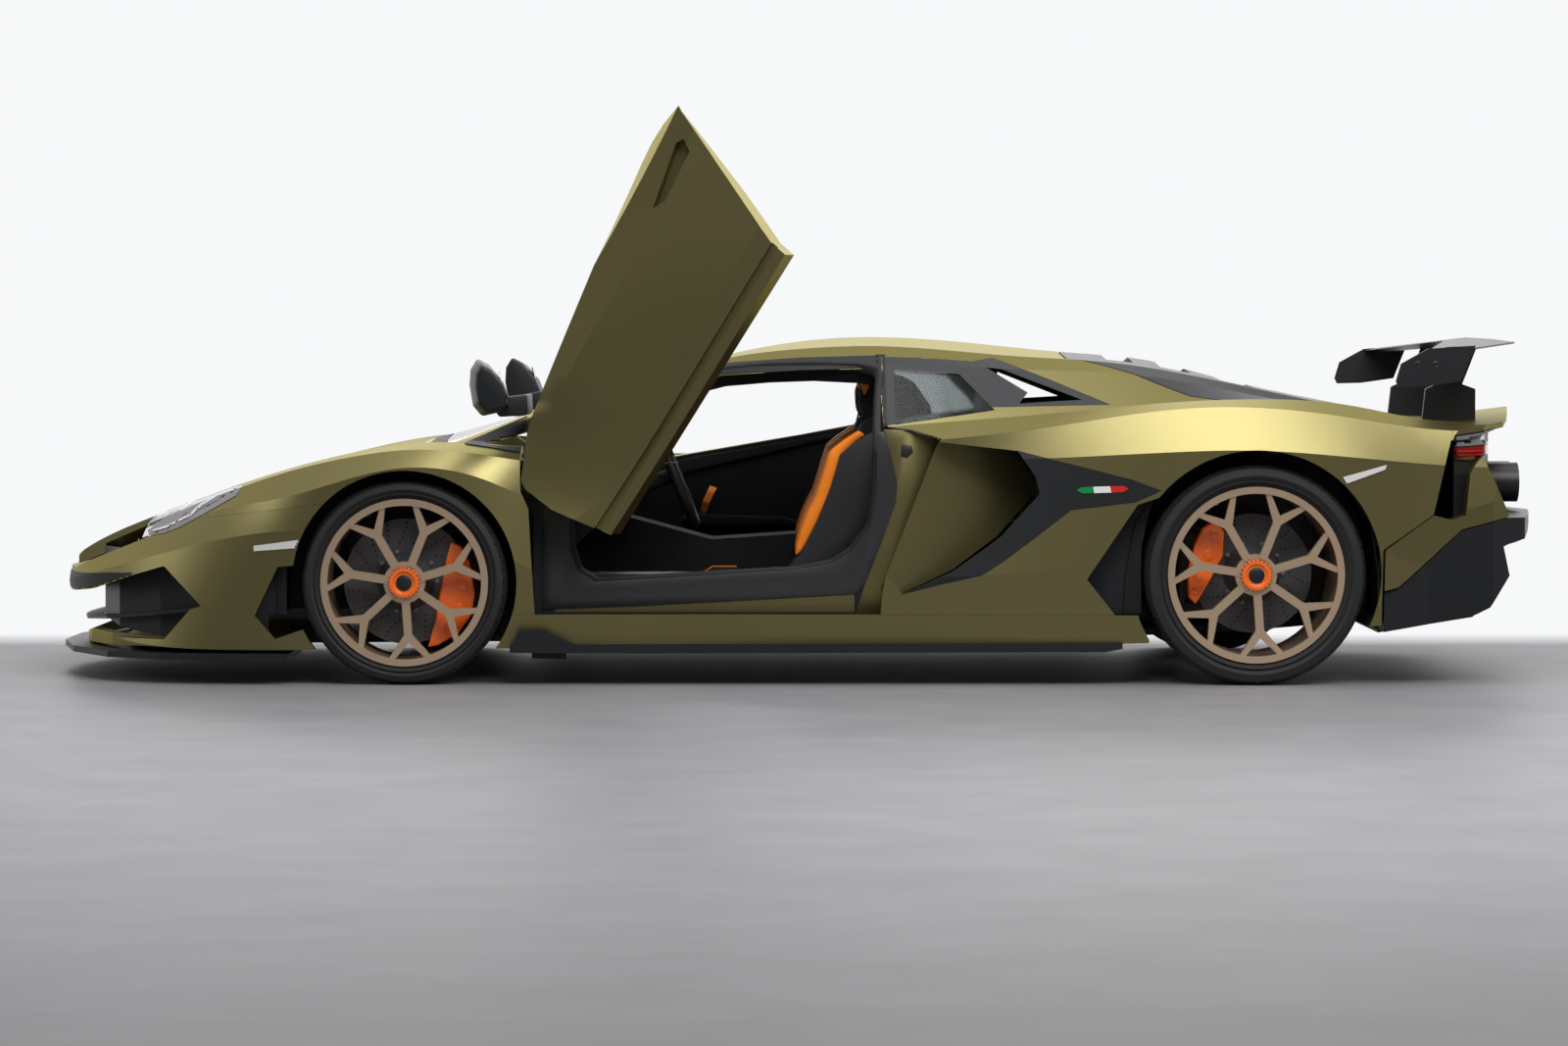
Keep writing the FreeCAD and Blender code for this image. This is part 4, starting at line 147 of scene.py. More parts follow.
wire(depth_tone, "Result", brighter, 0)
wire(height_tone, "Result", brighter, 1)
wire(brighter, 0, room, "Color")
wire(path, "Is Camera Ray", either, 0)
wire(path, "Is Transmission Ray", either, 1)
wire(path, "Is Glossy Ray", mirror_mix, 0)
wire(lighting, 0, mirror_mix, 1)
wire(room, 0, mirror_mix, 2)
wire(either, 0, mix, 0)
wire(mirror_mix, 0, mix, 1)
wire(shown, 0, mix, 2)
wire(mix, 0, out, 0)


def softbox(name, place, aim, width, height, power):
    """A wide soft lamp at a place, aimed at a point."""
    lamp = bpy.data.lights.new(name, "AREA")
    lamp.shape = "RECTANGLE"
    lamp.size = width
    lamp.size_y = height
    lamp.energy = power
    holder = bpy.data.objects.new(name, lamp)
    bpy.context.scene.collection.objects.link(holder)
    holder.location = place
    way = Vector(aim) - Vector(place)
    holder.rotation_euler = way.to_track_quat("-Z", "Y").to_euler()


softbox("overhead", (-0.6, 1.2, 5.4), (0, 0, 0.5), 7.0, 2.2, 165)
softbox("near_side", (-2.0, 5.6, 5.2), (-0.6, 0, 0.7), 6.5, 2.8, 420)
softbox("far_side", (0.0, -7.0, 3.6), (0, 0, 0.6), 9.0, 2.0, 110)
softbox("nose_side", (7.0, 3.0, 2.6), (0.8, 0, 0.5), 3.0, 2.0, 60)

quiet()
bpy.ops.mesh.primitive_plane_add(size=60, location=(0, 0, 0))
floor = bpy.context.object
floor.name = "studio_floor"
paper = bpy.data.materials.new("studio_floor")
paper.use_nodes = True
nodes = paper.node_tree.nodes
screed = nodes["Principled BSDF"]
screed.inputs["Roughness"].default_value = 0.5
place = add(nodes, "TexCoord")
speckle = add(nodes, "TexNoise", Scale=3.0, Detail=6.0)
wire(place, "Object", speckle, "Vector")
tone = add(nodes, "Mix")
tone.data_type = "RGBA"
tone.inputs[6].default_value = (0.17, 0.17, 0.18, 1)
tone.inputs[7].default_value = (0.27, 0.27, 0.285, 1)
wire(speckle, "Fac", tone, 0)
wire(tone, 2, screed, "Base Color")
split = add(nodes, "SeparateXYZ")
wire(place, "Object", split, "Vector")
fade = add(nodes, "MapRange", From_Min=COVE_START, From_Max=COVE_END)
wire(split, "Y", fade, "Value")
cove = add(nodes, "Emission", Color=BACKDROP)
blend_to = add(nodes, "MixShader")
wire(fade, "Result", blend_to, 0)
wire(screed, "BSDF", blend_to, 1)
wire(cove, "Emission", blend_to, 2)
wire(blend_to, "Shader", nodes["Material Output"], "Surface")
floor.data.materials.append(paper)
bpy.context.scene.view_settings.view_transform = "Standard"
print("studio lit")

# %% [markdown]
# ## Finishes
# A finish is more than a colour. Each one below starts from the Principled shader and gets
# fine structure from noise, so that light breaks up on it as on the real surface. Object
# coordinates are in metres here, so a scale of 1000 means grains of about a millimetre.

# %% A plain finish with grain
finishes = {}


def finish(name, colour, metal=0.0, rough=0.5, grain=900.0, bump=0.05, shift=0.12, **sockets):
    """A Principled material whose colour, roughness and height vary with fine noise."""
    stuff = bpy.data.materials.new(name)
    stuff.use_nodes = True
    nodes = stuff.node_tree.nodes
    shader = nodes["Principled BSDF"]
    shader.inputs["Metallic"].default_value = metal
    for socket, value in sockets.items():
        shader.inputs[socket.replace("_", " ")].default_value = value
    where = add(nodes, "TexCoord")
    noise = add(nodes, "TexNoise", Scale=grain, Detail=3.0)
    wire(where, "Object", noise, "Vector")
    ramp = add(nodes, "Mix")
    ramp.data_type = "RGBA"
    ramp.inputs[6].default_value = (*[c * (1 - shift) for c in colour], 1)
    ramp.inputs[7].default_value = (*[min(1, c * (1 + shift)) for c in colour], 1)
    wire(noise, "Fac", ramp, 0)
    wire(ramp, 2, shader, "Base Color")
    spread = add(nodes, "MapRange", To_Min=max(0.02, rough - 0.06), To_Max=min(1.0, rough + 0.06))
    wire(noise, "Fac", spread, "Value")
    wire(spread, "Result", shader, "Roughness")
    height = add(nodes, "Bump", Strength=bump, Distance=0.0006)
    wire(noise, "Fac", height, "Height")
    wire(height, "Normal", shader, "Normal")
    finishes[name] = stuff
    return stuff


finish(
    "olive_paint", (0.232, 0.202, 0.086), metal=0.88, rough=0.36, grain=2600, bump=0.03,
    Specular_Tint=(0.74, 0.69, 0.42, 1.0), Coat_Weight=0.02, Coat_Roughness=0.35)
finish(
    "satin_black", (0.011, 0.012, 0.014), rough=0.42, grain=1800, bump=0.06,
    Specular_IOR_Level=0.35)
finish(
    "dark_plastic", (0.008, 0.008, 0.009), rough=0.55, grain=1400, bump=0.12,
    Specular_IOR_Level=0.3)
finish(
    "soft_black", (0.009, 0.009, 0.010), rough=0.85, grain=700, bump=0.3, Sheen_Weight=0.08,
    Specular_IOR_Level=0.25)
finish("bronze", (0.72, 0.53, 0.36), metal=0.80, rough=0.32, grain=2200, bump=0.03)
finish(
    "orange_gloss", (0.90, 0.155, 0.014), rough=0.26, grain=300, bump=0.01, shift=0.04,
    Coat_Weight=0.5)
finish(
    "orange_hide", (0.96, 0.25, 0.016), rough=0.5, grain=650, bump=0.25, shift=0.04,
    Specular_IOR_Level=0.3)
finish("tyre_rubber", (0.011, 0.0105, 0.010), rough=0.72, grain=500, bump=0.2)
finish(
    "ceramic_disc", (0.070, 0.070, 0.074), metal=0.35, rough=0.4, grain=420, bump=0.1, shift=0.35)
finish("cast_alloy", (0.22, 0.22, 0.23), metal=0.8, rough=0.5, grain=350, bump=0.25)
finish("dark_steel", (0.055, 0.054, 0.052), metal=0.9, rough=0.45, grain=600, bump=0.05)
finish(
    "white_lens", (0.70, 0.69, 0.67), rough=0.18, grain=200, bump=0.02, shift=0.03, Coat_Weight=0.6)
finish(
    "red_lens", (0.22, 0.006, 0.006), rough=0.15, grain=200, bump=0.02, shift=0.05, Coat_Weight=0.8)
finish("green_enamel", (0.01, 0.23, 0.06), rough=0.2, grain=200, bump=0.02, shift=0.05)
finish("white_enamel", (0.75, 0.75, 0.74), rough=0.2, grain=200, bump=0.02, shift=0.03)
finish("red_enamel", (0.60, 0.02, 0.02), rough=0.2, grain=200, bump=0.02, shift=0.05)
finish(
    "smoked_lens", (0.20, 0.19, 0.20), rough=0.20, grain=200, bump=0.02, shift=0.10,
    Coat_Weight=0.3)
finish("mirror_silver", (0.75, 0.77, 0.80), metal=1.0, rough=0.05, grain=200, bump=0.0, shift=0.02)
# Near-black and matt: painted shade for the inside of drilled holes and tyre grooves.
finish("recess_shade", (0.004, 0.004, 0.004), rough=0.9, grain=800, bump=0.1)
print(len(finishes), "plain finishes")

# %% [markdown]
# ## Carbon weave
# Carbon-fibre trim shows its twill only from close by. A checker pattern, turned by 45
# degrees, gives bundles of 3 mm, one dark and the next a little paler.

# %% Carbon weave
BUNDLE = 0.003


def weave(name, dark, pale):
    """Satin carbon whose colour comes from a fine checker instead of the noise."""
    stuff = finish(
        name, dark, rough=0.3, grain=1500, bump=0.03, Coat_Weight=0.4, Coat_Roughness=0.25)
    nodes = stuff.node_tree.nodes
    where = add(nodes, "TexCoord")
    turn = add(nodes, "Mapping", Rotation=(0.35, math.radians(45), 0.2))
    checker = add(nodes, "TexChecker", Scale=1 / BUNDLE, Color1=(*dark, 1), Color2=(*pale, 1))
    wire(where, "Object", turn, "Vector")
    wire(turn, "Vector", checker, "Vector")
    wire(checker, "Color", nodes["Principled BSDF"], "Base Color")


weave("carbon", (0.012, 0.012, 0.014), (0.035, 0.035, 0.038))
print("carbon weave made")

# %% [markdown]
# ## Glass
# Window glass is thin and a little smoky. A transmissive shader with a dark tint keeps
# the cabin visible behind it, and its low roughness mirrors the studio's panels.

# %% Glass


def pane(name, tint):
    """Clear glass with a tint, thin enough to bend the view only a little."""
    finish(name, tint, rough=0.08, grain=60, bump=0.0, shift=0.02, Transmission_Weight=1.0, IOR=1.2)


pane("tinted_glass", (0.45, 0.48, 0.48))
pane("clear_lens", (0.85, 0.88, 0.92))
print("glass made")

# %% [markdown]
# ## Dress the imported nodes
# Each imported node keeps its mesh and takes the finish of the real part.

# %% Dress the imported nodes
slot_finish = {
    "paint": "olive_paint", "carbon": "satin_black", "glass": "tinted_glass", "lens": "clear_lens",
    "red_lens": "red_lens", "tyre": "tyre_rubber", "bronze": "bronze", "ceramic": "ceramic_disc",
    "caliper": "orange_gloss", "alloy": "cast_alloy", "seat": "soft_black", "trim": "dark_plastic",
    "steel": "dark_steel",
}
own_finish = {"screen_frame": "olive_paint", "console": "soft_black"}
for part in frame["record"]["subparts"]:
    body_part = frame["nodes"][part["node"]]
    for place in body_part.material_slots:
        place.material = finishes[own_finish.get(part["node"], slot_finish[part["material_slot"]])]

# %% [markdown]
# ## A drawn strip
# Most trim on a car is a thin strip that follows a curved panel: a marker lamp, a window
# border, a seal. By hand it is a flat grid whose edge is pulled to the drawn shape, pressed
# on the panel with Shrinkwrap, and given its thickness with Solidify. The grid is drawn
# beside the car, so that pressing it inwards meets the outside of the panel first.

# %% Tools for a strip
AXES = {"Y": 1, "Z": 2}
DRAWN_AT = 2.5
MISSED = DRAWN_AT - 0.01


def apply_all(piece):
    """Apply the piece's modifiers, top down."""
    pick(piece)
    for step in list(piece.modifiers):
        bpy.ops.object.modifier_apply(modifier=step.name)


def between(line, share):
    """The point at a share of the way along a drawn line."""
    spot = share * (len(line) - 1)
    index = min(int(spot), len(line) - 2)
    return Vector(line[index]).lerp(Vector(line[index + 1]), spot - index)


def strip(name, first, second, along=24, across=3):
    """A grid pulled between two drawn lines of points."""
    quiet()
    bpy.ops.mesh.primitive_grid_add(x_subdivisions=along, y_subdivisions=across, size=2)
    piece = bpy.context.object
    piece.name = name
    for corner in piece.data.vertices:
        u = (corner.co.x + 1) / 2
        v = (corner.co.y + 1) / 2
        corner.co = between(first, u).lerp(between(second, u), v)
    return piece


def union_of(names):
    """One joined copy of some CAD nodes, to press pieces on."""
    pick(*[frame["nodes"][name] for name in names])
    bpy.ops.object.duplicate()
    bpy.ops.object.parent_clear(type="CLEAR_KEEP_TRANSFORM")
    if len(names) > 1:
        bpy.ops.object.join()
    return bpy.context.object


def drop(piece):
    """Delete a helper object."""
    quiet()
    piece.select_set(True)
    bpy.ops.object.delete()


def begin_edit(piece, mode="FACE"):
    """Clear the piece's selection in edit mode and leave that mode again."""
    pick(piece)
    bpy.ops.object.mode_set(mode="EDIT")
    bpy.ops.mesh.select_mode(type=mode)
    bpy.ops.mesh.select_all(action="DESELECT")
    bpy.ops.object.mode_set(mode="OBJECT")


def edit_all(piece):
    """Enter edit mode on one piece with all of it selected."""
    pick(piece)
    bpy.ops.object.mode_set(mode="EDIT")
    bpy.ops.mesh.select_all(action="SELECT")


def end_edit():
    """Leave edit mode."""
    bpy.ops.object.mode_set(mode="OBJECT")


def thicken(piece, thickness, offset=-1.0):
    """Turn a sheet into a plate; an offset of 0 grows it to both sides."""
    step = piece.modifiers.new("thick", "SOLIDIFY")
    step.thickness = thickness
    step.offset = offset
    apply_all(piece)


def rounded(piece, width, segments=3, angle=25):
    """Bevel every edge that is sharper than an angle."""
    step = piece.modifiers.new("round", "BEVEL")
    step.width = width
    step.segments = segments
    step.limit_method = "ANGLE"
    step.angle_limit = math.radians(angle)
    apply_all(piece)


def press(piece, names, lift, thick, axis="Y"):
    """Press a strip on CAD nodes along an axis, drop what missed them and make it thick."""
    target = union_of(names)
    wrap = piece.modifiers.new("press", "SHRINKWRAP")
    wrap.target = target
    wrap.wrap_method = "PROJECT"
    wrap.wrap_mode = "ABOVE_SURFACE"
    wrap.offset = lift
    wrap.use_negative_direction = True
    wrap.use_positive_direction = False
    wrap.use_project_y = axis == "Y"
    wrap.use_project_z = axis == "Z"
    apply_all(piece)
    drop(target)
    away = [v.index for v in piece.data.vertices if v.co[AXES[axis]] > MISSED]
    if away:
        print(piece.name, "missed the panel at", len(away), "points, which are dropped")
        begin_edit(piece, "VERT")
        for index in away:
            piece.data.vertices[index].select = True
        bpy.ops.object.mode_set(mode="EDIT")
        bpy.ops.mesh.delete(type="VERT")
        end_edit()
    thicken(piece, thick, 0)


def both_sides(piece):
    """Add the mirror image across the car's centre plane to the same piece."""
    step = piece.modifiers.new("twin", "MIRROR")
    step.use_axis = (False, True, False)
    step.use_mirror_merge = False
    apply_all(piece)


def dress(piece, kind, body="chassis", angle=35):
    """Smooth a piece, give it its finish and let it ride on a body."""
    edit_all(piece)
    bpy.ops.mesh.normals_make_consistent(inside=False)
    end_edit()
    bpy.ops.object.shade_smooth_by_angle(angle=math.radians(angle))
    piece.data.materials.clear()
    piece.data.materials.append(finishes[kind])
    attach(piece, body)


def side_line(points):
    """Points (x, z) seen from the side, drawn beside the car."""
    return [(x, DRAWN_AT, z) for x, z in points]


def top_line(points):
    """Points (x, y) seen from above, drawn over the car."""
    return [(x, y, DRAWN_AT) for x, y in points]


def side_trim(name, upper, lower, names, kind, lift, thick, grid=(24, 3)):
    """A strip between two lines seen from the side, pressed on nodes and dressed, on both sides."""
    piece = strip(name, side_line(upper), side_line(lower), *grid)
    press(piece, names, lift, thick)
    both_sides(piece)
    dress(piece, kind)
    return piece


print("strip tools ready")

# %% [markdown]
# ## Marker lamps
# Two slim white lamps sit flush in each side, one before the front arch and one behind the
# rear arch. They are strips pressed on the bumper and the rear wing.

# %% Marker lamps
front_marker = side_trim(
    "marker_lamps_front", [(1.740, 0.441), (1.597, 0.461)], [(1.740, 0.424), (1.594, 0.436)],
    ["front_bumper"], "white_lens", lift=0.0015, thick=0.004)
rear_marker = side_trim(
    "marker_lamps_rear", [(-1.706, 0.661), (-1.848, 0.699)], [(-1.719, 0.641), (-1.842, 0.684)],
    ["rear_quarter_left"], "white_lens", lift=0.0015, thick=0.004)
print("marker lamps:", len(front_marker.data.polygons) + len(rear_marker.data.polygons), "faces")

# %% [markdown]
# ## Striped badge bar
# The black trim behind each door carries a small bar in three colours. Each colour is a
# strip of its own, side by side.

# %% Striped bar
bars = {
    "green_enamel": (
        [(-0.869, 0.620), (-0.884, 0.628), (-0.920, 0.630)],
        [(-0.870, 0.618), (-0.886, 0.609), (-0.924, 0.610)]),
    "white_enamel": (
        [(-0.920, 0.630), (-0.973, 0.632)],
        [(-0.924, 0.610), (-0.977, 0.612)]),
    "red_enamel": (
        [(-0.973, 0.632), (-1.016, 0.633), (-1.031, 0.625)],
        [(-0.977, 0.612), (-1.016, 0.614), (-1.030, 0.622)]),
}
for kind, (upper, lower) in bars.items():
    side_trim(
        "stripe_" + kind.split("_")[0], upper, lower, ["intake_trims"], kind, lift=0.001,
        thick=0.002, grid=(10, 3))
print("three stripes a side")

# %% [markdown]
# ## Roof rails and window borders
# Black rubber and gloss black runs over the door openings and along the foot of the
# windscreen. They are strips on the roof, and a wider one on the glass.

# %% Borders
side_trim(
    "roof_rails", [(0.560, 0.925), (0.500, 0.944), (0.260, 1.018), (0.000, 1.036), (-0.262, 1.043)],
    [(0.540, 0.885), (0.500, 0.897), (0.262, 0.972), (0.000, 0.988), (-0.262, 0.994)],
    ["roof", "screen_frame"], "dark_plastic", lift=0.001, thick=0.003, grid=(90, 18))
foot = strip(
    "screen_border_foot",
    top_line([(1.215, -0.60), (1.222, -0.30), (1.225, 0.0), (1.222, 0.30), (1.215, 0.60)]),
    top_line([(1.150, -0.585), (1.168, -0.30), (1.172, 0.0), (1.168, 0.30), (1.150, 0.585)]),
    along=48)
press(foot, ["windscreen"], axis="Z", lift=0.0008, thick=0.0012)
dress(foot, "dark_plastic")
print("borders pressed on")

# %% [markdown]
# ## Pieces of a wheel
# Every wheel has the same few extra pieces: a toothed orange centre nut with a dark cap, a
# ring of bolts on the brake disc, near-black discs on it as painted shade for its drilled
# holes, a valve and raised ribs on the tyre.
# Each is modelled once, lying on the origin with its axis along Y, and then copied to all
# four wheels. A copy for the right side is mirrored, so that it faces outwards too.

# %% Wheel tools
WHEELS = {
    "front_left": (1.262, 0.860, 0.325, 1), "front_right": (1.262, -0.860, 0.325, -1),
    "rear_left": (-1.438, 0.840, 0.350, 1), "rear_right": (-1.438, -0.840, 0.350, -1),
}


def pick_faces(piece, rule):
    """Select the faces that a rule names and stay in edit mode."""
    begin_edit(piece)
    for face in piece.data.polygons:
        face.select = rule(face)
    bpy.ops.object.mode_set(mode="EDIT")


def outer(face):
    """True for a face that looks outwards along +Y."""
    return face.normal.y > 0.9


def inset_outer(piece, *steps):
    """Inset the outer face once for each (thickness, depth)."""
    pick_faces(piece, outer)
    for thickness, depth in steps:
        bpy.ops.mesh.inset(thickness=thickness, depth=depth)
    end_edit()


def move_all(piece, way):
    """Move all of a piece's mesh."""
    edit_all(piece)
    bpy.ops.transform.translate(value=way)
    end_edit()


def disc_blank(name, radius, depth, sides=40):
    """A round blank at the origin whose axis is Y and whose outer face is at y 0."""
    quiet()
    bpy.ops.mesh.primitive_cylinder_add(
        vertices=sides, radius=radius, depth=depth, location=(0, -depth / 2, 0),
        rotation=(math.radians(90), 0, 0))
    bpy.ops.object.transform_apply(location=True, rotation=True, scale=True)
    piece = bpy.context.object
    piece.name = name
    return piece


def spun(piece, steps):
    """Repeat all of a piece round the Y axis."""
    edit_all(piece)
    bpy.ops.mesh.spin(
        steps=steps, dupli=True, angle=math.radians(360), center=(0, 0, 0), axis=(0, 1, 0))
    bpy.ops.mesh.select_all(action="SELECT")
    bpy.ops.mesh.remove_doubles(threshold=0.00001)
    end_edit()


def to_wheels(piece, out_front, out_rear, kind, scale_rear=1.0, angle=35):
    """Copy a piece lying on the origin to the four axles, out by a distance, and dress it."""
    base = piece.name
    for wheel, (x, y, z, side) in WHEELS.items():
        pick(piece)
        bpy.ops.object.duplicate()
        copy = bpy.context.object
        copy.name = base + "_" + wheel
        rear = wheel.startswith("rear")
        grow = scale_rear if rear else 1.0
        out = out_rear if rear else out_front
        edit_all(copy)
        bpy.ops.transform.resize(value=(grow, side, grow), center_override=(0, 0, 0))
        bpy.ops.transform.translate(value=(x, y + side * out, z))
        end_edit()
        dress(copy, kind, "wheel_" + wheel, angle)
    drop(piece)


print("wheel tools ready")

# %% [markdown]
# ## Centre nuts
# The nut is a short drum. Every second face of its rim is pulled out to make a tooth, the
# front face is inset and pushed in, and a bevel takes the sharpness off. The cap in its
# middle is a shallow dome.

# %% Centre nuts
nut = disc_blank("centre_nut", 0.049, 0.024, sides=44)
inset_outer(nut, (0.014, 0.0), (0.003, -0.005))
rim = [face for face in nut.data.polygons if abs(face.normal.y) < 0.1 and face.area > 0.0001]
rim.sort(key=lambda face: math.atan2(face.center.z, face.center.x))
teeth = {face.index for face in rim[::2]}
pick_faces(nut, lambda face: face.index in teeth)
bpy.ops.mesh.extrude_faces_move(TRANSFORM_OT_shrink_fatten={"value": -0.005})
end_edit()
rounded(nut, 0.0012, 2, 30)
to_wheels(nut, 0.1295, 0.1745, "orange_gloss")
cap = disc_blank("centre_cap", 0.025, 0.012, sides=32)
inset_outer(cap, (0.005, 0.002), (0.010, 0.0015))
to_wheels(cap, 0.1275, 0.1725, "satin_black")
print("centre nuts on four wheels")

# %% [markdown]
# ## Brake discs
# Ten bolts hold the dark friction ring to its hub, and small holes are drilled through it in
# curved rows. Each hole is a thin near-black disc on the ring, painted shade for the inside
# of the hole. One bolt and one short row are modelled and spun round the axle.

# %% Brake disc details
bolt = disc_blank("disc_bolts", 0.0085, 0.008, sides=6)
move_all(bolt, (0.098, 0, 0))
inset_outer(bolt, (0.002, 0.002))
spun(bolt, 10)
to_wheels(bolt, 0.0235, 0.0235, "cast_alloy")
# The holes are thin near-black discs: painted shade for the inside of each hole.
holes = disc_blank("disc_hole_shades", 0.0032, 0.002, sides=8)
hole_row = [(0.124, 0.000), (0.139, 0.012), (0.154, 0.022), (0.169, 0.030), (0.184, 0.036)]
edit_all(holes)
bpy.ops.transform.translate(value=(hole_row[0][0], 0, hole_row[0][1]))
for (x, z), (next_x, next_z) in zip(hole_row, hole_row[1:]):
    bpy.ops.mesh.duplicate()
    bpy.ops.transform.translate(value=(next_x - x, 0, next_z - z))
end_edit()
spun(holes, 18)
to_wheels(holes, 0.0180, 0.0180, "recess_shade", scale_rear=0.95)
print("bolts and holes on four discs")

# %% [markdown]
# ## Valves
# A short metal valve leans out of the rim well near the flange. It is a cylinder whose end
# is inset and drawn out to a thinner neck.

# %% Valves
valve = disc_blank("valve", 0.0045, 0.020, sides=12)
pick_faces(valve, outer)
bpy.ops.mesh.inset(thickness=0.0012, depth=0.0)
bpy.ops.mesh.extrude_region_move(TRANSFORM_OT_translate={"value": (0, 0.012, 0)})
bpy.ops.mesh.inset(thickness=0.0006, depth=0.0012)
end_edit()
move_all(valve, (0.116, 0, 0.212))
to_wheels(valve, 0.075, 0.12, "cast_alloy", scale_rear=1.05)
print("four valves")

# %% [markdown]
# ## Tyre walls and tread
# A low tyre shows a rib beside the rim, a fine line half way up its wall and grooves across
# the shoulder. The ribs are thin rings. A groove is one narrow near-black wedge, painted shade
# for the inside of the groove, spun round the axle. It stays inside the tyre's own radius, so
# the tyre still rolls on its own surface.

# %% Tyre walls and tread
for name, ring_radius, wire in (("tyre_rib", 0.2815, 0.0026), ("tyre_line", 0.2985, 0.0012)):
    quiet()
    bpy.ops.mesh.primitive_torus_add(
        major_radius=ring_radius, minor_radius=wire, major_segments=120, minor_segments=6,
        rotation=(math.radians(90), 0, 0))
    ring = bpy.context.object
    ring.name = name
    bpy.ops.object.transform_apply(location=True, rotation=True, scale=True)
    edit_all(ring)
    bpy.ops.transform.resize(value=(1, 1.6, 1), center_override=(0, 0, 0))
    end_edit()
    to_wheels(ring, 0.1235, 0.1685, "tyre_rubber", scale_rear=1.055, angle=60)
print("ribs on four tyres")
# Each groove is a near-black wedge: painted shade for the inside of the groove.
quiet()
bpy.ops.mesh.primitive_cube_add(size=1, location=(0, 0, 0))
groove = bpy.context.object
groove.name = "tyre_groove_shades"
edit_all(groove)
bpy.ops.transform.resize(value=(0.0035, 0.016, 0.008), center_override=(0, 0, 0))
bpy.ops.transform.translate(value=(0, 0.1135, 0.3165))
end_edit()
pick_faces(groove, outer)
bpy.ops.transform.translate(value=(0.004, 0, -0.004))
end_edit()
spun(groove, 48)
to_wheels(groove, 0.0, 0.045, "recess_shade", scale_rear=1.0785)
print("shoulder grooves on four tyres")

# %% [markdown]
# ## Bucket seats
# A bucket seat is a hard shell with separate pads: a cushion, a back, a bolster down each
# side and a headrest. A pad starts as a drawn outline, extruded to its width. It is
# remeshed into small even squares and blown up a little as cloth, so its faces swell and
# its sides pull in between the corners, as foam does under hide. A cap on how far a point
# moves keeps it in its shell. The seams are pushed in afterwards.

# %% Tools for a padded piece
def slab(name, outline, low, high):
    """A closed outline in x and z, extruded from one y to another."""
    quiet()
    bpy.ops.mesh.primitive_circle_add(vertices=len(outline), fill_type="NGON")
    piece = bpy.context.object
    piece.name = name
    for corner, (x, z) in zip(piece.data.vertices, outline):
        corner.co = (x, low, z)
    edit_all(piece)
    bpy.ops.mesh.extrude_region_move(TRANSFORM_OT_translate={"value": (0, high - low, 0)})
    bpy.ops.mesh.select_all(action="SELECT")
    bpy.ops.mesh.normals_make_consistent(inside=False)
    end_edit()
    return piece


def puffed(piece, voxel=0.007, pressure=4.0, cap=0.010):
    """Remesh a pad and swell it as cloth under pressure, no point further than the cap."""
    even = piece.modifiers.new("even", "REMESH")
    even.mode = "VOXEL"
    even.voxel_size = voxel
    apply_all(piece)
    start = [v.co.copy() for v in piece.data.vertices]
    cloth = piece.modifiers.new("swell", "CLOTH")
    cloth.settings.quality = 4
    cloth.settings.use_pressure = True
    cloth.settings.uniform_pressure_force = pressure
    cloth.settings.effector_weights.gravity = 0
    cloth.collision_settings.use_collision = False
    for step in range(1, 21):
        bpy.context.scene.frame_set(step)
    apply_all(piece)
    bpy.context.scene.frame_set(1)
    for corner, was in zip(piece.data.vertices, start):
        moved = corner.co - was
        if moved.length > cap:
            corner.co = was + moved * (cap / moved.length)
    ease = piece.modifiers.new("ease", "SMOOTH")
    ease.factor = 0.5
    ease.iterations = 4
    apply_all(piece)


def seam(piece, line, width=0.006, depth=0.005):
    """Push a sewn channel into a pad along a drawn line of points in x, y, z."""
    points = [Vector(p) for p in line]
    for corner in piece.data.vertices:
        nearest = 1.0
        for first, second in zip(points, points[1:]):
            run = second - first
            share = max(0.0, min(1.0, (corner.co - first).dot(run) / run.length_squared))
            nearest = min(nearest, (corner.co - first - share * run).length)
        if nearest < 3 * width:
            corner.co -= corner.normal * depth * math.exp(-(nearest / width) ** 2)


def twin_of(piece, name):
    """A copy of a piece mirrored to the other side of the car."""
    pick(piece)
    bpy.ops.object.duplicate()
    copy = bpy.context.object
    copy.name = name
    edit_all(copy)
    bpy.ops.transform.resize(value=(1, -1, 1), center_override=(0, 0, 0))
    end_edit()
    return copy


print("pad tools ready")

# %% [markdown]
# ## The pads
# The outlines are drawn from the side, in metres. The bolster is the orange piece that
# shows through the open door, so its outline follows the photograph's most closely. Each
# pad is made for the left seat and mirrored for the right one.

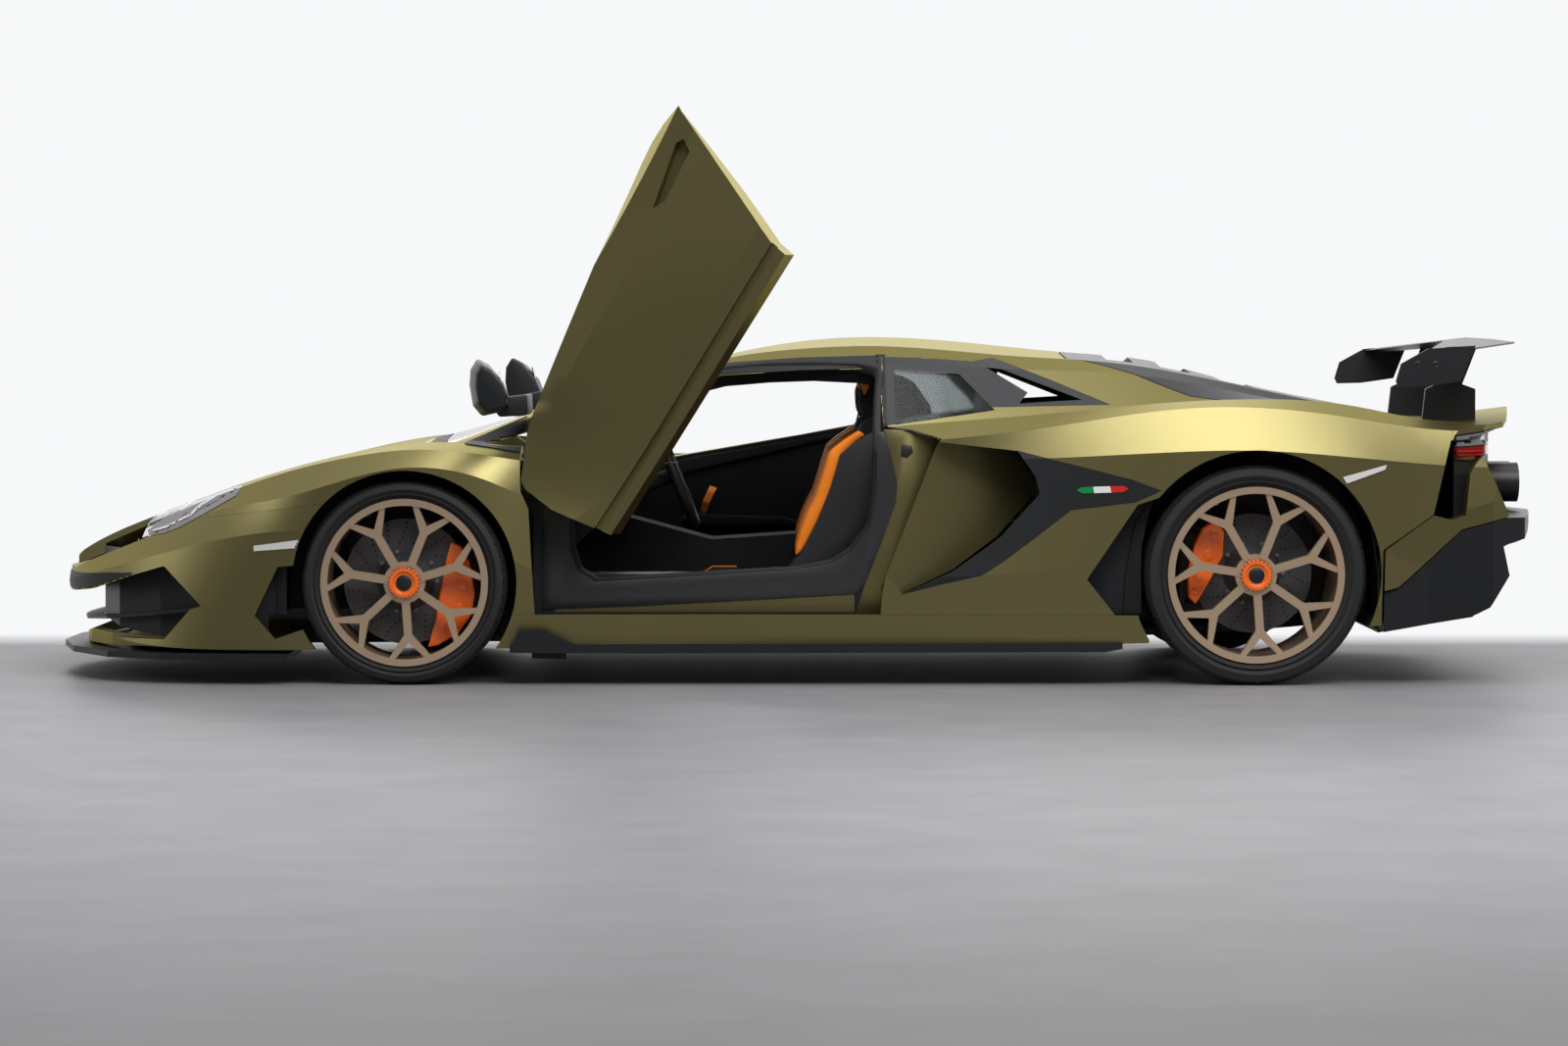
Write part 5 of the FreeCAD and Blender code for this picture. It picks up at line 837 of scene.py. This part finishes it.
# %% Pads of the left seat
PAD_Y = (0.222, 0.548)
BOLSTER_Y = (0.567, 0.611)
SEAM_Y = (0.290, 0.480)
pad_lines = {
    "seat_back": (PAD_Y, [
        (-0.010, 0.310), (-0.060, 0.480), (-0.120, 0.640), (-0.178, 0.770), (-0.215, 0.845),
        (-0.290, 0.850), (-0.300, 0.780), (-0.215, 0.560), (-0.130, 0.370), (-0.095, 0.300),
    ]),
    "seat_cushion": (PAD_Y, [
        (-0.090, 0.240), (-0.075, 0.285), (0.060, 0.290), (0.200, 0.300), (0.300, 0.304),
        (0.324, 0.290), (0.324, 0.252), (0.290, 0.236),
    ]),
    "seat_bolster": (BOLSTER_Y, [
        (0.024, 0.392), (0.019, 0.426), (0.007, 0.472), (-0.014, 0.527), (-0.042, 0.581),
        (-0.060, 0.632), (-0.077, 0.686), (-0.090, 0.732), (-0.135, 0.768), (-0.186, 0.802),
        (-0.206, 0.786), (-0.170, 0.762), (-0.130, 0.724), (-0.116, 0.676), (-0.099, 0.618),
        (-0.083, 0.567), (-0.056, 0.510), (-0.029, 0.457), (-0.010, 0.424), (0.008, 0.400),
    ]),
    "leg_bolster": (BOLSTER_Y, [
        (-0.030, 0.250), (-0.010, 0.330), (0.060, 0.338), (0.280, 0.338), (0.322, 0.318),
        (0.324, 0.262), (0.290, 0.245),
    ]),
    "headrest_core": (SEAM_Y, [
        (-0.208, 0.815), (-0.197, 0.870), (-0.194, 0.930), (-0.204, 0.972), (-0.260, 0.978),
        (-0.350, 0.970), (-0.420, 0.870), (-0.425, 0.815),
    ]),
    "headrest_face": ((0.286, 0.484), [
        (-0.202, 0.912), (-0.197, 0.945), (-0.203, 0.972), (-0.248, 0.978), (-0.256, 0.909),
    ]),
}
pads = {name: slab(name, outline, *span) for name, (span, outline) in pad_lines.items()}
print(len(pads), "pads drawn")

# %% Swell the pads
for name, piece in pads.items():
    small = name.startswith("headrest_face")
    puffed(piece, voxel=0.006, cap=0.005 if small else 0.008)
    print(name, len(piece.data.polygons), "faces")
for y in SEAM_Y:
    seam(pads["seat_back"], [(-0.060, y, 0.480), (-0.120, y, 0.640), (-0.178, y, 0.770)])
for share in (0.2, 0.4, 0.6, 0.8):
    x, z = -0.010 - 0.168 * share, 0.310 + 0.460 * share
    seam(pads["seat_back"], [(x + 0.008, y, z) for y in SEAM_Y])
for y in SEAM_Y:
    seam(pads["seat_cushion"], [(-0.070, y, 0.292), (0.320, y, 0.308)])
for x in (0.040, 0.120, 0.200, 0.270):
    seam(pads["seat_cushion"], [(x, y, 0.298) for y in SEAM_Y])
print("channels sewn")

# %% [markdown]
# ## The shell and the right seat
# The shell is thin and hard: a side plate by each bolster, a back and a pan. A plate is a
# slab a few millimetres thick whose rim is bevelled. Then the inner bolsters and the whole
# right seat are mirrored from these pieces.

# %% Shell and right seat
SEAT_CENTRE = 0.385
side_plate = [
    (-0.200, 0.217), (0.326, 0.217), (0.328, 0.285), (0.300, 0.326), (0.052, 0.326), (0.006, 0.400),
    (-0.050, 0.510), (-0.094, 0.618), (-0.125, 0.724), (-0.168, 0.760), (-0.210, 0.785),
    (-0.300, 0.835), (-0.438, 0.858), (-0.466, 0.830),
]
shell_sides = slab("seat_shell_sides", side_plate, 0.613, 0.619)
shell_back = slab(
    "seat_shell_back",
    [(-0.196, 0.218), (-0.464, 0.826), (-0.440, 0.856), (-0.428, 0.850), (-0.450, 0.824),
     (-0.182, 0.218)],
    0.156, 0.614)
shell_pan = slab(
    "seat_shell_pan", [(-0.190, 0.217), (-0.190, 0.232), (0.322, 0.232), (0.322, 0.217)], 0.156,
    0.614)
for piece in (shell_sides, shell_back, shell_pan):
    rounded(piece, 0.0015, 2)


def across_seat(piece):
    """Repeat a side piece on the inner side of the left seat, in the same mesh."""
    step = piece.modifiers.new("twin", "MIRROR")
    quiet()
    bpy.ops.object.empty_add(location=(0, SEAT_CENTRE, 0))
    marker = bpy.context.object
    step.mirror_object = marker
    step.use_axis = (False, True, False)
    step.use_mirror_merge = False
    apply_all(piece)
    drop(marker)


def on_both_seats(piece, kind):
    """Dress a piece of the left seat and a mirrored copy for the right seat."""
    base = piece.name
    dress(twin_of(piece, base + "_right"), kind)
    piece.name = base + "_left"
    dress(piece, kind)


for piece in (pads["seat_bolster"], pads["leg_bolster"], shell_sides):
    across_seat(piece)
seat_finish = {
    "seat_back": "soft_black", "seat_cushion": "soft_black", "seat_bolster": "orange_hide",
    "leg_bolster": "soft_black", "headrest_core": "soft_black", "headrest_face": "orange_hide",
}
for name, piece in pads.items():
    for side, seat in (("left", piece), ("right", twin_of(piece, name + "_right"))):
        if side == "left":
            seat.name = name + "_left"
        dress(seat, seat_finish[name], angle=60)
        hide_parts("seat_" + side)
for piece in (shell_sides, shell_back, shell_pan):
    on_both_seats(piece, "carbon")
print("two seats made")

# %% [markdown]
# ## Piping and belts
# An orange cord of hide runs round the front of each cushion, and a flat belt hangs from
# each shoulder slot. The cord is a thin closed slab, the belt a strip with thickness.

# %% Piping and belts
piping = slab(
    "seat_piping",
    [(0.214, 0.3385), (0.216, 0.3425), (0.296, 0.3430), (0.327, 0.3230), (0.3305, 0.2900),
     (0.3270, 0.2895), (0.3235, 0.3205), (0.294, 0.3392)],
    0.585, 0.593)
rounded(piping, 0.0015, 2)
across_seat(piping)
on_both_seats(piping, "orange_hide")
belt = strip(
    "shoulder_belts",
    [(-0.196, 0.330, 0.905), (-0.205, 0.328, 0.860), (-0.188, 0.325, 0.790), (-0.120, 0.322, 0.640),
     (-0.045, 0.318, 0.440)],
    [(-0.196, 0.300, 0.905), (-0.205, 0.290, 0.860), (-0.188, 0.285, 0.790), (-0.120, 0.280, 0.640),
     (-0.045, 0.276, 0.440)],
    along=30, across=2)
thicken(belt, 0.0025)
across_seat(belt)
on_both_seats(belt, "soft_black")
print("piping and belts made")

# %% [markdown]
# ## Door opening
# A carbon cover plate frames each door opening, a fat rubber seal runs round its edge and a
# black headliner shows under the roof. The plate is a slab with a drawn outline. The seal is
# a ribbon between two drawn lines that is thickened and subdivided, which rounds it.

# %% Cover plates
cover_line = [
    (0.831, 0.232), (0.526, 0.242), (0.151, 0.262), (-0.168, 0.280), (-0.201, 0.313),
    (-0.257, 0.454), (-0.300, 0.576), (-0.305, 0.632), (-0.283, 0.735), (-0.262, 0.800),
    (-0.240, 0.800), (-0.238, 0.604), (-0.220, 0.500), (-0.159, 0.418), (-0.093, 0.379),
    (0.030, 0.358), (0.480, 0.330), (0.662, 0.320), (0.718, 0.355), (0.742, 0.425), (0.745, 0.560),
    (0.831, 0.560),
]
cover_plate = slab("opening_cover", cover_line, 0.8236, 0.8272)
rounded(cover_plate, 0.0008, 2)
both_sides(cover_plate)
dress(cover_plate, "carbon")
print("cover plates:", len(cover_plate.data.polygons), "faces")

# %% Seals
seal_outer = [
    (0.762, 0.818, 0.560), (0.762, 0.818, 0.473), (0.758, 0.818, 0.398), (0.723, 0.818, 0.332),
    (0.657, 0.818, 0.302), (0.432, 0.818, 0.315), (0.010, 0.818, 0.337), (-0.112, 0.818, 0.365),
    (-0.178, 0.818, 0.407), (-0.238, 0.818, 0.491), (-0.254, 0.816, 0.604), (-0.257, 0.804, 0.740),
    (-0.259, 0.775, 0.805), (-0.263, 0.690, 0.900), (-0.266, 0.630, 0.985), (-0.255, 0.610, 1.012),
    (-0.181, 0.596, 1.027), (-0.038, 0.592, 1.031), (0.104, 0.592, 1.026), (0.247, 0.596, 1.012),
    (0.380, 0.606, 0.975),
]
seal_inner = [
    (0.728, 0.818, 0.560), (0.727, 0.818, 0.500), (0.722, 0.818, 0.430), (0.700, 0.818, 0.366),
    (0.650, 0.818, 0.338), (0.432, 0.818, 0.349), (0.020, 0.818, 0.372), (-0.090, 0.818, 0.394),
    (-0.150, 0.818, 0.432), (-0.204, 0.818, 0.505), (-0.221, 0.816, 0.604), (-0.224, 0.804, 0.740),
    (-0.226, 0.775, 0.805), (-0.231, 0.690, 0.900), (-0.236, 0.630, 0.968), (-0.228, 0.606, 0.976),
    (-0.181, 0.588, 0.987), (-0.038, 0.584, 0.992), (0.104, 0.584, 0.986), (0.247, 0.588, 0.970),
    (0.376, 0.600, 0.936),
]
seal = strip("opening_seal", seal_outer, seal_inner, along=160, across=2)
thicken(seal, 0.018, 0)
soft = seal.modifiers.new("soft", "SUBSURF")
soft.levels = 1
soft.render_levels = 1
apply_all(seal)
both_sides(seal)
dress(seal, "dark_plastic", angle=60)
print("seal:", len(seal.data.polygons), "faces")

# %% Headliner edge
liner_top = [
    (-0.250, 0.596, 0.992), (-0.181, 0.590, 1.000), (-0.038, 0.586, 1.004), (0.104, 0.586, 0.998),
    (0.247, 0.590, 0.982), (0.380, 0.600, 0.944),
]
liner_low = [
    (-0.235, 0.560, 0.950), (-0.181, 0.552, 0.957), (-0.039, 0.548, 0.964), (0.105, 0.548, 0.959),
    (0.248, 0.552, 0.947), (0.376, 0.560, 0.915),
]
liner = strip("headliner_edge", liner_top, liner_low, along=60, across=6)
thicken(liner, 0.012, 0)
rounded(liner, 0.003, 2, 60)
both_sides(liner)
dress(liner, "soft_black")
side_trim(
    "pillar_trims", [(-0.242, 1.046), (-0.240, 0.950), (-0.236, 0.812)],
    [(-0.272, 1.046), (-0.272, 0.950), (-0.272, 0.812)],
    ["side_frames", "roof", "screen_frame", "rear_quarter_left", "quarter_glass", "jambs"],
    "dark_plastic", lift=0.0015, thick=0.002, grid=(60, 12))
print("headliner edge and pillar trims made")

# %% [markdown]
# ## Door linings
# Inside, each door carries a black lining with a paler band along its top, an armrest and an
# orange pull strap. They are drawn on the closed right door. The left door stands open, so
# its copies are mirrored and then turned about its hinge line, as the door is.

# %% Door linings
door_top = [
    (0.700, 0.626), (0.540, 0.665), (0.330, 0.701), (0.120, 0.738), (-0.090, 0.776),
    (-0.215, 0.796),
]
door_low = [
    (0.700, 0.240), (0.540, 0.240), (0.330, 0.240), (0.120, 0.240), (-0.090, 0.240),
    (-0.215, 0.262),
]
lining = strip("door_lining", side_line(door_top), side_line(door_low), along=60, across=28)
press(lining, ["door_right"], lift=0.0004, thick=0.0006)
band = strip(
    "door_band",
    side_line([(0.690, 0.612), (0.379, 0.684), (0.161, 0.720), (-0.047, 0.752), (-0.205, 0.780)]),
    side_line([(0.690, 0.560), (0.369, 0.637), (0.161, 0.684), (-0.047, 0.736), (-0.205, 0.770)]),
    along=50, across=4)
press(band, ["door_right"], lift=0.006, thick=0.005)
rounded(band, 0.0018, 2, 50)
armrest = slab(
    "door_armrest",
    [(0.420, 0.462), (0.400, 0.482), (0.060, 0.472), (-0.060, 0.440), (-0.050, 0.425),
     (0.080, 0.440), (0.390, 0.440)],
    -0.826, -0.790)
rounded(armrest, 0.008, 4)
strap = strip(
    "door_strap",
    [(0.296, -0.8235, 0.572), (0.306, -0.806, 0.555), (0.322, -0.800, 0.520),
     (0.331, -0.812, 0.490), (0.334, -0.8235, 0.480)],
    [(0.320, -0.8235, 0.580), (0.330, -0.806, 0.563), (0.346, -0.800, 0.526),
     (0.352, -0.812, 0.494), (0.355, -0.8235, 0.484)],
    along=30, across=3)
thicken(strap, 0.003)
print("right door lined")

# %% Turn copies on to the open left door
DOOR_OPEN = 58.5
hinge_point = Vector((0.929, 0.8743, 0.574))
hinge_line = Vector((0.10, 1.0, -0.20)).normalized()
swing = Matrix.Rotation(math.radians(DOOR_OPEN), 4, hinge_line)
opened = Matrix.Translation(hinge_point) @ swing @ Matrix.Translation(-hinge_point)
lining_finish = {
    "door_lining": "soft_black", "door_band": "satin_black", "door_armrest": "soft_black",
    "door_strap": "orange_hide",
}
for piece in (lining, band, armrest, strap):
    kind = lining_finish[piece.name]
    other = twin_of(piece, piece.name + "_left")
    other.data.transform(opened)
    dress(other, kind, "door_left_body")
    piece.name += "_right"
    dress(piece, kind, "door_right_body")
print("both doors lined")

# %% [markdown]
# ## Brake calipers
# The front calipers are long orange castings that follow the disc's edge behind the wheel,
# the rear ones are shorter. Each is its drawn outline with thickness. The outer face is
# inset and raised, and a round boss stands over each piston.

# %% Calipers
front_caliper_line = [
    (1.118, 0.449), (1.088, 0.438), (1.060, 0.386), (1.043, 0.285), (1.056, 0.216), (1.096, 0.161),
    (1.160, 0.122), (1.192, 0.116), (1.186, 0.140), (1.168, 0.205), (1.156, 0.281), (1.130, 0.411),
]
rear_caliper_line = [
    (-1.313, 0.520), (-1.344, 0.484), (-1.341, 0.407), (-1.319, 0.363), (-1.276, 0.286),
    (-1.254, 0.253), (-1.232, 0.275), (-1.229, 0.363), (-1.253, 0.450), (-1.275, 0.495),
]


def caliper(name, outline, low, high, bosses):
    """A cast caliper from its outline, with a raised outer face and round bosses."""
    piece = slab(name, outline, low, high)
    inset_outer(piece, (0.006, 0.004), (0.010, -0.003))
    rounded(piece, 0.0025, 2)
    joined = [piece]
    for x, z, radius in bosses:
        quiet()
        bpy.ops.mesh.primitive_cylinder_add(
            vertices=24, radius=radius, depth=0.008, location=(x, high + 0.001, z),
            rotation=(math.radians(90), 0, 0))
        boss = bpy.context.object
        bpy.ops.object.transform_apply(location=True, rotation=True, scale=True)
        rounded(boss, 0.002, 2)
        joined.append(boss)
    pick(*joined)
    bpy.ops.object.join()
    return piece


front = caliper(
    "front_caliper_casting", front_caliper_line, 0.818, 0.898,
    [(1.094, 0.385, 0.016), (1.086, 0.315, 0.018), (1.096, 0.240, 0.018), (1.126, 0.180, 0.014)])
front_right = twin_of(front, "front_caliper_casting_right")
front.name = "front_caliper_casting_left"
dress(front, "orange_gloss", "steer_left")
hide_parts("front_caliper_left")
dress(front_right, "orange_gloss", "steer_right")
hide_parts("front_caliper_right")
rear = caliper(
    "rear_caliper_castings", rear_caliper_line, 0.840, 0.905,
    [(-1.312, 0.475, 0.014), (-1.296, 0.410, 0.017), (-1.264, 0.345, 0.016),
     (-1.250, 0.296, 0.011)])
both_sides(rear)
dress(rear, "orange_gloss")
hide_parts("rear_calipers")
print("four calipers:", len(front.data.polygons), "and", len(rear.data.polygons), "faces")

# %% [markdown]
# ## Mirrors
# A leaf-shaped housing stands out on a short flat arm. The outline is extruded, its outer end
# made smaller in edit mode and all edges rounded. The glass sits in the rear face.

# %% Mirrors
INNER_Y, OUTER_Y = 0.955, 1.120
MIDDLE_X, MIDDLE_Z = 0.965, 0.935
TAPER, SWEEP = 0.22, 0.012
housing_line = [
    (1.030, 1.036), (0.993, 1.016), (0.948, 0.962), (0.930, 0.916), (0.942, 0.868), (1.016, 0.852),
    (1.044, 0.885), (1.055, 0.950), (1.052, 1.000),
]
housing = slab("mirror_housings", housing_line, INNER_Y, OUTER_Y)
pick_faces(housing, lambda face: abs(face.normal.y) < 0.9)
bpy.ops.mesh.subdivide(number_cuts=3)
end_edit()
for corner in housing.data.vertices:
    out_by = (corner.co.y - INNER_Y) / (OUTER_Y - INNER_Y)
    keep = 1.0 - TAPER * out_by ** 2
    corner.co.x = MIDDLE_X + (corner.co.x - MIDDLE_X) * keep - SWEEP * out_by
    corner.co.z = MIDDLE_Z + (corner.co.z - MIDDLE_Z) * keep
rounded(housing, 0.010, 3, 40)
both_sides(housing)
dress(housing, "satin_black", angle=50)
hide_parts("mirrors")
arm = slab(
    "mirror_arms",
    [(0.972, 0.866), (0.950, 0.912), (0.872, 0.922), (0.870, 0.860), (0.884, 0.854),
     (0.960, 0.850)],
    0.640, 0.965)
rounded(arm, 0.006, 3)
both_sides(arm)
dress(arm, "satin_black", angle=50)
glass_line = [(0.957, 0.968, 1.002), (0.957, 1.040, 0.998), (0.950, 1.100, 0.978)]
glass_foot = [(0.927, 0.968, 0.884), (0.927, 1.040, 0.888), (0.925, 1.100, 0.900)]
mirror_glass = strip("mirror_glass", glass_line, glass_foot, along=16, across=8)
thicken(mirror_glass, 0.004)
both_sides(mirror_glass)
dress(mirror_glass, "mirror_silver")
print("mirrors made")

# %% [markdown]
# ## Small windows at the pillars' feet
# A black frame fills the corner between each windscreen pillar and the wing. It is a strip
# pressed on both panels.

# %% Corner windows
corner_frame = side_trim(
    "corner_window_frames", [(1.080, 0.764), (0.985, 0.806), (0.890, 0.846)],
    [(1.075, 0.760), (0.985, 0.748), (0.900, 0.735)],
    ["screen_frame", "front_fender_left", "windscreen"], "dark_plastic", lift=0.0015,
    thick=0.003, grid=(30, 8))
print("corner windows:", len(corner_frame.data.polygons), "faces")

# %% [markdown]
# ## Tail lamps
# Each tail lamp wraps round the corner: a pale upper lens, a dark red band that carries two
# thin light bars, and a black frame. They are strips on the wing and the rear panel.

# %% Tail lamps
lamp_on = ["rear_quarter_left", "tail_lamps", "rear_fascia", "rear_deck"]
side_trim(
    "tail_lamp_frames", [(-2.076, 0.792), (-2.150, 0.800), (-2.222, 0.812)],
    [(-2.070, 0.708), (-2.130, 0.706), (-2.180, 0.712)], lamp_on, "dark_plastic",
    lift=0.001, thick=0.002, grid=(24, 12))
side_trim(
    "tail_lamp_pale_lenses", [(-2.082, 0.787), (-2.150, 0.795), (-2.215, 0.806)],
    [(-2.078, 0.755), (-2.140, 0.758), (-2.200, 0.764)], lamp_on, "smoked_lens",
    lift=0.0035, thick=0.003, grid=(24, 6))
side_trim(
    "tail_lamp_red_lenses", [(-2.078, 0.751), (-2.140, 0.754), (-2.198, 0.760)],
    [(-2.074, 0.714), (-2.130, 0.712), (-2.182, 0.717)], lamp_on, "red_lens",
    lift=0.0035, thick=0.003, grid=(24, 6))
for index, low in enumerate((0.724, 0.738)):
    upper = [(-2.085, low + 0.004), (-2.175, low + 0.005)]
    lower = [(-2.085, low), (-2.175, low + 0.001)]
    side_trim(
        "tail_lamp_bar_%d" % (index + 1), upper, lower, lamp_on, "red_enamel",
        lift=0.006, thick=0.002, grid=(12, 1))
print("tail lamps dressed")

# %% [markdown]
# ## Nose and headlamps
# A black strip low on each side of the nose is painted shade, for the shadow under a sharper
# nose edge, and each headlamp is a long leaf of smoked lens with a reflector strip and two
# white light bars on it. All are strips pressed on the front panels.

# %% Nose and headlamps
front_skin = ["front_bumper", "headlamps", "front_fender_left", "bonnet", "nose_ducts"]
# A black strip low on the nose's sides: painted shade for the shadow under the nose edge.
side_trim(
    "nose_shade_strips", [(2.420, 0.336), (2.330, 0.338), (2.240, 0.345), (2.150, 0.348)],
    [(2.420, 0.276), (2.330, 0.276), (2.240, 0.280), (2.170, 0.300)], ["front_bumper"],
    "dark_plastic", lift=0.0012, thick=0.002, grid=(60, 10))
side_trim(
    "headlamp_housings",
    [(2.108, 0.480), (2.048, 0.526), (1.948, 0.580), (1.850, 0.614), (1.790, 0.628)],
    [(2.100, 0.466), (2.048, 0.474), (1.998, 0.492), (1.907, 0.541), (1.810, 0.596)], front_skin,
    "smoked_lens", lift=0.0012, thick=0.0016, grid=(60, 10))
headlamp_parts = [
    ("headlamp_reflectors", "smoked_lens", 0.0030,
     [(2.085, 0.489), (2.030, 0.520), (1.940, 0.566), (1.860, 0.596)],
     [(2.080, 0.478), (2.030, 0.498), (1.950, 0.540), (1.870, 0.580)]),
    ("headlamp_light_bars", "white_lens", 0.0048,
     [(2.088, 0.481), (2.040, 0.495), (1.960, 0.533)],
     [(2.086, 0.476), (2.040, 0.488), (1.962, 0.526)]),
    ("headlamp_light_arms", "white_lens", 0.0048,
     [(1.962, 0.534), (1.930, 0.566), (1.880, 0.592)],
     [(1.957, 0.528), (1.924, 0.560), (1.876, 0.587)]),
]
for name, kind, lift, upper, lower in headlamp_parts:
    side_trim(name, upper, lower, front_skin, kind, lift, thick=0.0014, grid=(30, 2))
print("nose and headlamps dressed")

# %% [markdown]
# ## Sill strips and latch pockets
# Below the cover plate the painted sill shows as a bright edge that climbs to the rear. Behind
# the opening the body colour runs on into the pocket with the door latch.

# %% Sills and pockets
side_trim(
    "sill_top_strips", [(0.790, 0.237), (0.526, 0.246), (0.151, 0.266), (-0.168, 0.284)],
    [(0.790, 0.223), (0.526, 0.223), (0.151, 0.223), (-0.168, 0.223)],
    ["sills", "side_frames", "monocoque", "skirts"], "olive_paint", lift=0.0008,
    thick=0.0010, grid=(80, 8))
filler_line = [
    (-0.262, 0.808), (-0.345, 0.805), (-0.440, 0.772), (-0.415, 0.700), (-0.370, 0.560),
    (-0.340, 0.400), (-0.330, 0.215), (-0.172, 0.215), (-0.200, 0.310), (-0.250, 0.450),
    (-0.290, 0.576), (-0.300, 0.632), (-0.280, 0.735),
]
filler = slab("jamb_fillers", filler_line, 0.812, 0.8246)
rounded(filler, 0.0015, 2)
both_sides(filler)
dress(filler, "olive_paint")
latch = slab(
    "door_latches",
    [(-0.318, 0.762), (-0.350, 0.757), (-0.356, 0.735), (-0.336, 0.716), (-0.316, 0.722)], 0.822,
    0.8275)
rounded(latch, 0.003, 2)
both_sides(latch)
dress(latch, "dark_steel")
print("sills and pockets painted")

# %% [markdown]
# ## Wing bolts
# Two bolts hold each wing end plate. One head is a short drum whose front is inset twice, and
# its copy stands 56 mm behind it.

# %% Wing bolts
bolt_head = disc_blank("wing_bolts", 0.011, 0.006, sides=20)
inset_outer(bolt_head, (0.003, 0.002), (0.003, -0.003))
edit_all(bolt_head)
bpy.ops.transform.translate(value=(-1.968, 0.8515, 1.016))
bpy.ops.mesh.duplicate()
bpy.ops.transform.translate(value=(-0.056, 0, 0))
end_edit()
both_sides(bolt_head)
dress(bolt_head, "dark_steel")
print("wing bolts set")

# %% [markdown]
# The two boxes are kept so that the dressed car can be compared with the imported one.

# %% Close
print("scene finished")
